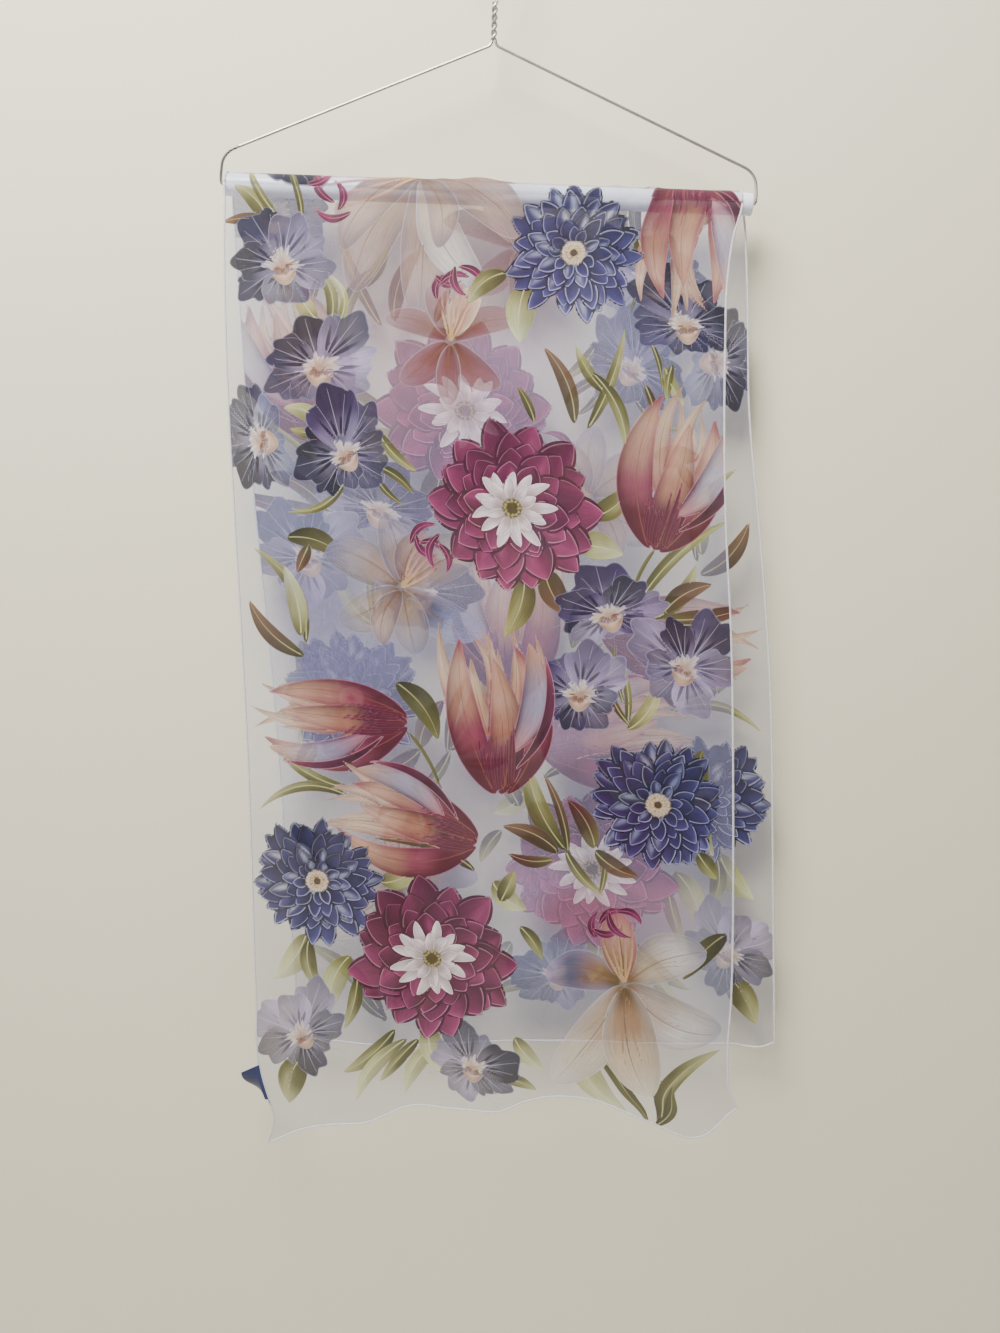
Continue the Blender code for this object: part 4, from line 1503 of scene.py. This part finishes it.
@dataclass
class Scarf:
    """The cloth: front drop, turn over the bar and back drop, with their rolled hems."""

    width: float = 0.395
    cloth_radius: float = 0.0093
    hang_in: float = 0.0015
    crease_fade: float = 0.060
    hem_radius: float = 0.00085
    columns: int = 228
    front_rows: int = 430
    turn_rows: int = 30
    back_columns: int = 210
    back_rows: int = 372
    bar_x: float = 0.0
    bar_z: float = 0.0

    def __post_init__(self) -> None:
        """Take the bar's middle from the frame."""
        low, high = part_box("hanger_bar")
        self.bar_x, self.bar_z = (low.x + high.x) / 2, (low.z + high.z) / 2

    def bar_height(self, x: Array) -> Array:
        """Height of the bar's middle line at x: it falls to the right with the tilt."""
        return self.bar_z - (x - self.bar_x) * math.tan(BAR_TILT)

    def edges(self, rows: Array, z: Array) -> tuple[Array, Array]:
        """x of the left and right edge of a drop at height z."""
        drop, left, right = rows.T * MM
        below = self.bar_z - z
        return through(drop, left, below), through(drop, right, below)

    def standing_out(self, creases: Array, x: Array, drop: Array) -> Array:
        """How far the creases lift the cloth off its hanging plane.

        A crease is a bell across its middle line, which runs straight from x_top to x_low. Its
        height eases from out_top to out_low, and it fades past its end and before its start.
        """
        total = np.zeros(np.broadcast(x, drop).shape)
        for x_top, x_low, start, end, half_width, out_top, out_low in creases * MM:
            along = np.clip((drop - start) / (end - start), 0.0, 1.0)
            middle = x_top + (x_low - x_top) * along
            height = out_top + (out_low - out_top) * ease(along)
            shown = 1 - ease((drop - end) / self.crease_fade)
            if start > 0:
                shown = shown * ease((drop - start + self.crease_fade) / self.crease_fade)
            total += height * shown * np.exp(-(((x - middle) / half_width) ** 2))
        return total

    def flutter(self, x: Array, drop: Array) -> Array:
        """Small soft unevenness: three slanting waves that grow from nothing at the bar."""
        grown = ease(drop / 0.25)
        waves = 0.00045 * np.sin(x * 95 + drop * 21) + 0.00035 * np.sin(x * 171 - drop * 33 + 1.7)
        return grown * (waves + 0.0005 * np.sin(x * 47 + drop * 13 + 0.6))

    def depth(self, creases: Array, x: Array, drop: Array) -> Array:
        """Distance of the cloth from the plane through the bar's middle line."""
        hang = self.cloth_radius - self.hang_in * ease(drop / 0.5)
        return hang + self.standing_out(creases, x, drop) + self.flutter(x, drop)

    def drop_stretch(
        self, rows: Array, hem: Array, creases: Array, facing: int, columns: int, count: int,
    ) -> Stretch:
        """One drop as a grid from the bar down to its hem.

        Args:
            rows: Its side edges.
            hem: Its lower hem.
            creases: Its creases.
            facing: -1 for the front, 1 for the back.
            columns: Faces across.
            count: Faces down.

        Returns:
            The grid, whose x is spread evenly between the side edges at each height.
        """
        across = np.linspace(0.0, 1.0, columns + 1)[None, :]
        start = (across - 0.5) * self.width + self.bar_x
        top = self.bar_height(start)
        share, drop = hem.T
        foot = self.bar_z - through(share, drop * MM, across)
        down = np.linspace(0.0, 1.0, count + 1)[:, None]
        z = top + (foot - top) * down
        left, right = self.edges(rows, z)
        x = left + (right - left) * across
        below = self.bar_height(x) - z
        y = facing * self.depth(creases, x, below)
        points = np.stack([x, y, z], axis=-1)
        return Stretch(points, self.flat_across(across, x), below / MM)

    def flat_across(self, across: Array, x: Array) -> Array:
        """Flat millimetres from the middle of the width, at every point of a grid."""
        return np.broadcast_to((across - 0.5) * self.width / MM, x.shape)

    def front(self) -> Stretch:
        """The front drop, from its hem up to the bar."""
        made = self.drop_stretch(
            FRONT_EDGES, FRONT_HEM, FRONT_CREASES, -1, self.columns, self.front_rows,
        )
        return Stretch(*(part[::-1] for part in made))

    def back(self) -> Stretch:
        """The back drop, from the bar down to its hem."""
        made = self.drop_stretch(
            BACK_EDGES, BACK_HEM, BACK_CREASES, 1, self.back_columns, self.back_rows,
        )
        return Stretch(made.points, made.across, -made.along - self.turn_length())

    def turn_length(self) -> float:
        """Length of the half turn over the bar in millimetres."""
        return math.pi * self.cloth_radius / MM

    def turn(self) -> Stretch:
        """The cloth over the bar: a half circle whose radius follows the creases either side."""
        across = np.linspace(0.0, 1.0, self.columns + 1)[None, :]
        angle = np.linspace(0.0, math.pi, self.turn_rows + 1)[:, None]
        left_end = self.bar_height(-0.5 * self.width)
        front_left, front_right = self.edges(FRONT_EDGES, left_end)
        back_left, back_right = self.edges(BACK_EDGES, left_end)
        share = (1 - np.cos(angle)) / 2
        left = blend(front_left, back_left, share)
        right = blend(front_right, back_right, share)
        x = left + (right - left) * across
        lift = blend(
            self.standing_out(FRONT_CREASES, x, np.zeros(1)),
            self.standing_out(BACK_CREASES, x, np.zeros(1)), share,
        )
        radius = self.cloth_radius + lift
        points = np.stack(
            [x, -radius * np.cos(angle), self.bar_height(x) + radius * np.sin(angle)], axis=-1,
        )
        along = np.broadcast_to(-angle * self.cloth_radius / MM, x.shape)
        return Stretch(points, self.flat_across(across, x), along)

    def make_sheet(self, name: str, stretch: Stretch, node: str) -> Piece:
        """Mesh one stretch, print it and give it its finish.

        Args:
            name: The piece's name.
            stretch: Its grid.
            node: The CAD node that it stands for.

        Returns:
            The piece.
        """
        rows, columns = stretch.across.shape
        quads = grid_quads(rows, columns)
        sheet = new_mesh_object(name, stretch.points.reshape(-1, 3), quads)
        across = stretch.across.ravel()[quads].reshape(rows - 1, columns - 1, 4)
        along = stretch.along.ravel()[quads].reshape(rows - 1, columns - 1, 4)
        size = (np.ptp(across) * MM, np.ptp(along) * MM)
        flat = np.stack([across - across.min(), along - along.min()], axis=-1)
        write_uv(sheet.data, flat.reshape(-1, 2) * MM / np.array(size))
        painter = Painter(across, along)
        paint(painter)
        painter.store(sheet.data)
        dress(sheet, ChiffonFinish().make("chiffon_" + name, size), node)
        LOG.info("%s: %d faces, flat %.3f x %.3f m", name, len(quads), *size)
        return sheet

    def make_hem(self, name: str, path: Array, finish: Material) -> Piece:
        """A rolled hem: a thin tube whose radius wavers as two sines of its length."""
        steps = np.linalg.norm(np.diff(path, axis=0), axis=1)
        run = np.concatenate([[0.0], np.cumsum(steps)])
        waver = 0.10 * np.sin(run * 420) + 0.08 * np.sin(run * 1130 + 1)
        hem = tube(name, path, self.hem_radius * (1 + waver), 8)
        dress(hem, finish)
        return hem

    def border(self, points: Array) -> Array:
        """Path along a drop's left edge, lower hem and right edge, for points from the bar down."""
        left, foot, right = points[:-1:2, 0], points[-1, ::2], points[-2::-2, -1]
        return np.concatenate([left, foot, right])

    def build(self) -> None:
        front, turn, back = self.front(), self.turn(), self.back()
        finish = HemFinish().make()
        paths = {
            "front_hem": self.border(front.points[::-1]), "back_hem": self.border(back.points),
            "turn_hem_left": turn.points[:, 0], "turn_hem_right": turn.points[:, -1],
        }
        hems = {name: self.make_hem(name, path, finish) for name, path in paths.items()}
        over = self.make_sheet("cloth_over_bar", turn, "scarf_over_bar")
        face = self.make_sheet("cloth_front", front, "scarf_front_drop")
        face.visible_shadow = False
        rear = self.make_sheet("cloth_back", back, "scarf_back_drop")


@dataclass
class Label:
    """A small satin label lapped on the left hem, its foot turned in."""

    scarf: Scarf
    width: float = 0.0155
    length: float = 0.030
    wall: float = 0.0006
    lap: float = 0.002
    top: float = 0.693
    straight: float = 0.0035
    turns: tuple[float, float] = (math.radians(-8.0), math.radians(76.0))
    slant: float = 0.0062
    clear: float = 0.0028
    rows: int = 61
    columns: int = 33

    def build(self) -> None:
        """Make it: straight past the hem, then swung inwards more and more towards its foot."""
        down = np.linspace(0.0, 1.0, self.rows)[:, None]
        out = np.linspace(0.0, self.width, self.columns)[None, :]
        z = self.scarf.bar_z - self.top - self.length * down
        edge = self.scarf.edges(FRONT_EDGES, z)[0] + self.lap
        drop = self.scarf.bar_height(edge) - z
        lap = self.scarf.depth(FRONT_CREASES, edge, drop) + self.clear
        turn = self.turns[0] + (self.turns[1] - self.turns[0]) * ease(down)
        straight = np.minimum(out, self.straight)
        x = edge - straight - (out - straight) * np.cos(turn)
        y = -lap + (out - straight) * np.sin(turn)
        z = z - self.slant * (1 - down) * out / self.width
        points = np.stack([x, y, z], axis=-1)
        quads = grid_quads(self.rows, self.columns)
        label = new_mesh_object("satin_label", points[:, ::-1].reshape(-1, 3), quads)
        places = {"label_across": out[:, ::-1], "label_down": down * self.length}
        for name, values in places.items():
            store(label.data, name, "FLOAT", "POINT", np.broadcast_to(values, x.shape))
        label.data.flip_normals()
        thick = label.modifiers.new("thickness", "SOLIDIFY")
        thick.thickness = self.wall
        thick.offset = 0.0
        dress(label, SatinFinish().make(), "label")
        LOG.info("label: %.1f x %.1f mm", self.width / MM, self.length / MM)


# ---- the hanger


@dataclass
class Hanger:
    """The tube bar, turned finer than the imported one, and the wires that carry it."""

    half: float = 0.203
    radius: float = 0.0085
    edge: float = 0.0008
    hole: float = 0.00145
    bore: float = 0.014
    chamfer: float = 0.0003
    sides: int = 72

    def build(self) -> None:
        """Make the bar and finish the wires."""
        low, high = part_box("hanger_bar")
        centre = np.array([(low.x + high.x) / 2, 0.0, (low.z + high.z) / 2])
        bar = self.make_bar(centre)
        dress(bar, TubeFinish().make(), "hanger_bar")
        steel = WireFinish().make()
        for node in ("hook_wire", "shoulder_wire_left", "shoulder_wire_right"):
            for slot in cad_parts[node].material_slots:
                slot.material = steel
        LOG.info("hanger: bar of %d faces, three wires", len(bar.data.polygons))

    def make_bar(self, centre: Array) -> Piece:
        """The bar: a half outline turned about its own middle line, then tilted.

        A point at (along, radius, angle) lies at the middle plus along times the tilted
        direction, plus the radius round it. The rim is a quarter circle of the edge's size.
        """
        bend = np.radians(np.linspace(90.0, 0.0, 6))
        inner = self.radius - self.edge
        rim = np.column_stack(
            [self.half - self.edge + self.edge * np.cos(bend), inner + self.edge * np.sin(bend)]
        )
        mouth = [[self.half, self.hole + self.chamfer], [self.half - self.chamfer, self.hole]]
        floor = [[self.half - self.bore, self.hole], [self.half - self.bore, 0.0]]
        run = np.linspace(0.0, self.half - self.edge, 24)[:-1, None] * [1.0, 0.0]
        run[:, 1] = self.radius
        right = np.concatenate([run, rim, mouth, floor])
        outline = np.concatenate([right[:0:-1] * [-1.0, 1.0], right])
        angle = np.linspace(0.0, TAU, self.sides, endpoint=False)[None, :]
        along, radius = outline[:, :1], outline[:, 1:]
        y = radius * np.cos(angle)
        up = radius * np.sin(angle)
        x = along * math.cos(BAR_TILT) + up * math.sin(BAR_TILT)
        z = -along * math.sin(BAR_TILT) + up * math.cos(BAR_TILT)
        points = centre + np.stack([x, y, z], axis=-1)
        quads = grid_quads(len(outline), self.sides, wrap=True)
        bar = new_mesh_object("tube_bar", points.reshape(-1, 3), quads)
        weld(bar)
        bar.data.set_sharp_from_angle(angle=math.radians(50.0))
        return bar


# ---- the studio


@dataclass
class Studio:
    """A plain wall and floor, soft light from above and the camera."""

    camera_at: tuple[float, float, float] = (0.0022, -1.0347, -0.4477)
    camera_pitch: float = math.radians(90.0 - 6.5)
    lens: float = 35.08
    wall_y: float = 0.034
    floor_z: float = -1.35
    wall_half: float = 3.2
    wall_top: float = 1.6
    floor_half: float = 4.0

    def build(self) -> None:
        """Make everything that isn't the object."""
        self.add_camera()
        self.add_stage()
        self.add_lights()

    def add_camera(self) -> None:
        """The camera: level with the middle of the scarf, looking slightly down."""
        data = bpy.data.cameras.new("camera")
        data.lens = self.lens
        data.sensor_width = 36.0
        camera = bpy.data.objects.new("camera", data)
        camera.location = self.camera_at
        camera.rotation_euler = (self.camera_pitch, 0.0, 0.0)
        bpy.context.scene.collection.objects.link(camera)
        bpy.context.scene.camera = camera

    def plane(self, name: str, corners: Array, finish: Material) -> None:
        """One stage face through four corners."""
        made = new_mesh_object(name, corners, np.array([[0, 1, 2, 3]]))
        made.data.materials.append(finish)

    def add_stage(self) -> None:
        """A cream wall, seen from the front only, and a pale floor."""
        wide, high, far = self.wall_half, self.wall_top, self.floor_half
        wall = [[-wide, self.floor_z], [wide, self.floor_z], [wide, high], [-wide, high]]
        corners = np.array([[x, self.wall_y, z] for x, z in wall])
        self.plane("wall", corners, self.wall_finish())
        floor = [[-far, -far], [far, -far], [far, far], [-far, far]]
        corners = np.array([[x, y, self.floor_z] for x, y in floor])
        graph = Graph("floor_paint")
        speck = graph.noise(graph.place(), 30.0, 3.0)
        colour = graph.mix(speck, (0.62, 0.61, 0.58, 1.0), (0.66, 0.65, 0.62, 1.0))
        self.plane("floor", corners, graph.principled({"Base Color": colour, "Roughness": 0.8}))

    def wall_finish(self) -> Material:
        """Matt cream paint with a faint orange-peel, clear from behind."""
        graph = Graph("wall_paint")
        at = graph.place()
        patch = graph.noise(at, 2.2, 3.0)
        colour = graph.mix(patch, (0.73, 0.68, 0.52, 1.0), (0.77, 0.72, 0.56, 1.0))
        peel = graph.noise(at, 260.0, 3.0)
        graph.principled(
            {"Base Color": colour, "Roughness": 0.75, "Normal": graph.bump(peel, 0.12, 0.0006)}
        )
        paint_node = graph.output.inputs[0].links[0].from_socket
        clear = graph.node("ShaderNodeBsdfTransparent", {}, {})
        behind = graph.node("ShaderNodeNewGeometry", {}, {}).outputs["Backfacing"]
        both = graph.node("ShaderNodeMixShader", {}, {0: behind, 1: paint_node, 2: clear.outputs[0]})
        graph.tree.links.new(both.outputs[0], graph.output.inputs[0])
        return graph.material

    def area(
        self, name: str, at: tuple[float, float, float], target: tuple[float, float, float],
        size: float, power: float, colour: tuple[float, float, float],
    ) -> None:
        """A square soft light aimed at a point."""
        data = bpy.data.lights.new(name, "AREA")
        data.size = size
        data.energy = power
        data.color = colour
        light = bpy.data.objects.new(name, data)
        light.location = at
        aim = np.array(target) - np.array(at)
        flat = math.hypot(aim[0], aim[1])
        heading = math.atan2(aim[1], aim[0]) - math.pi / 2
        light.rotation_euler = (math.atan2(flat, -aim[2]), 0.0, heading)
        bpy.context.scene.collection.objects.link(light)

    def add_lights(self) -> None:
        """A broad lamp above and in front, a low fill and a soft rear light, in a grey world."""
        self.area("key", (-0.45, -0.92, 0.92), (0.0, 0.0, -0.10), 0.9, 86.0, (1.0, 0.98, 0.94))
        self.area("fill", (-1.3, -1.6, -0.4), (0.0, 0.0, -0.6), 1.6, 5.0, (0.96, 0.97, 1.0))
        self.area("rear", (0.5, 1.9, 0.9), (0.0, 0.0, -0.5), 1.4, 60.0, (1.0, 0.99, 0.97))
        world = bpy.data.worlds.new("studio")
        world.use_nodes = True
        background = world.node_tree.nodes["Background"]
        background.inputs["Color"].default_value = (0.92, 0.93, 0.95, 1.0)
        background.inputs["Strength"].default_value = 0.24
        bpy.context.scene.world = world


def save_sizes() -> None:
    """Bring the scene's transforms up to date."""
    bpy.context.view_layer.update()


def main() -> None:
    """Build the scarf, its label, the hanger and the studio."""
    logging.basicConfig(level=logging.INFO, format="%(name)s: %(message)s")
    Studio().build()
    scarf = Scarf()
    scarf.build()
    Label(scarf).build()
    Hanger().build()
    save_sizes()


if __name__ == "__main__":
    main()
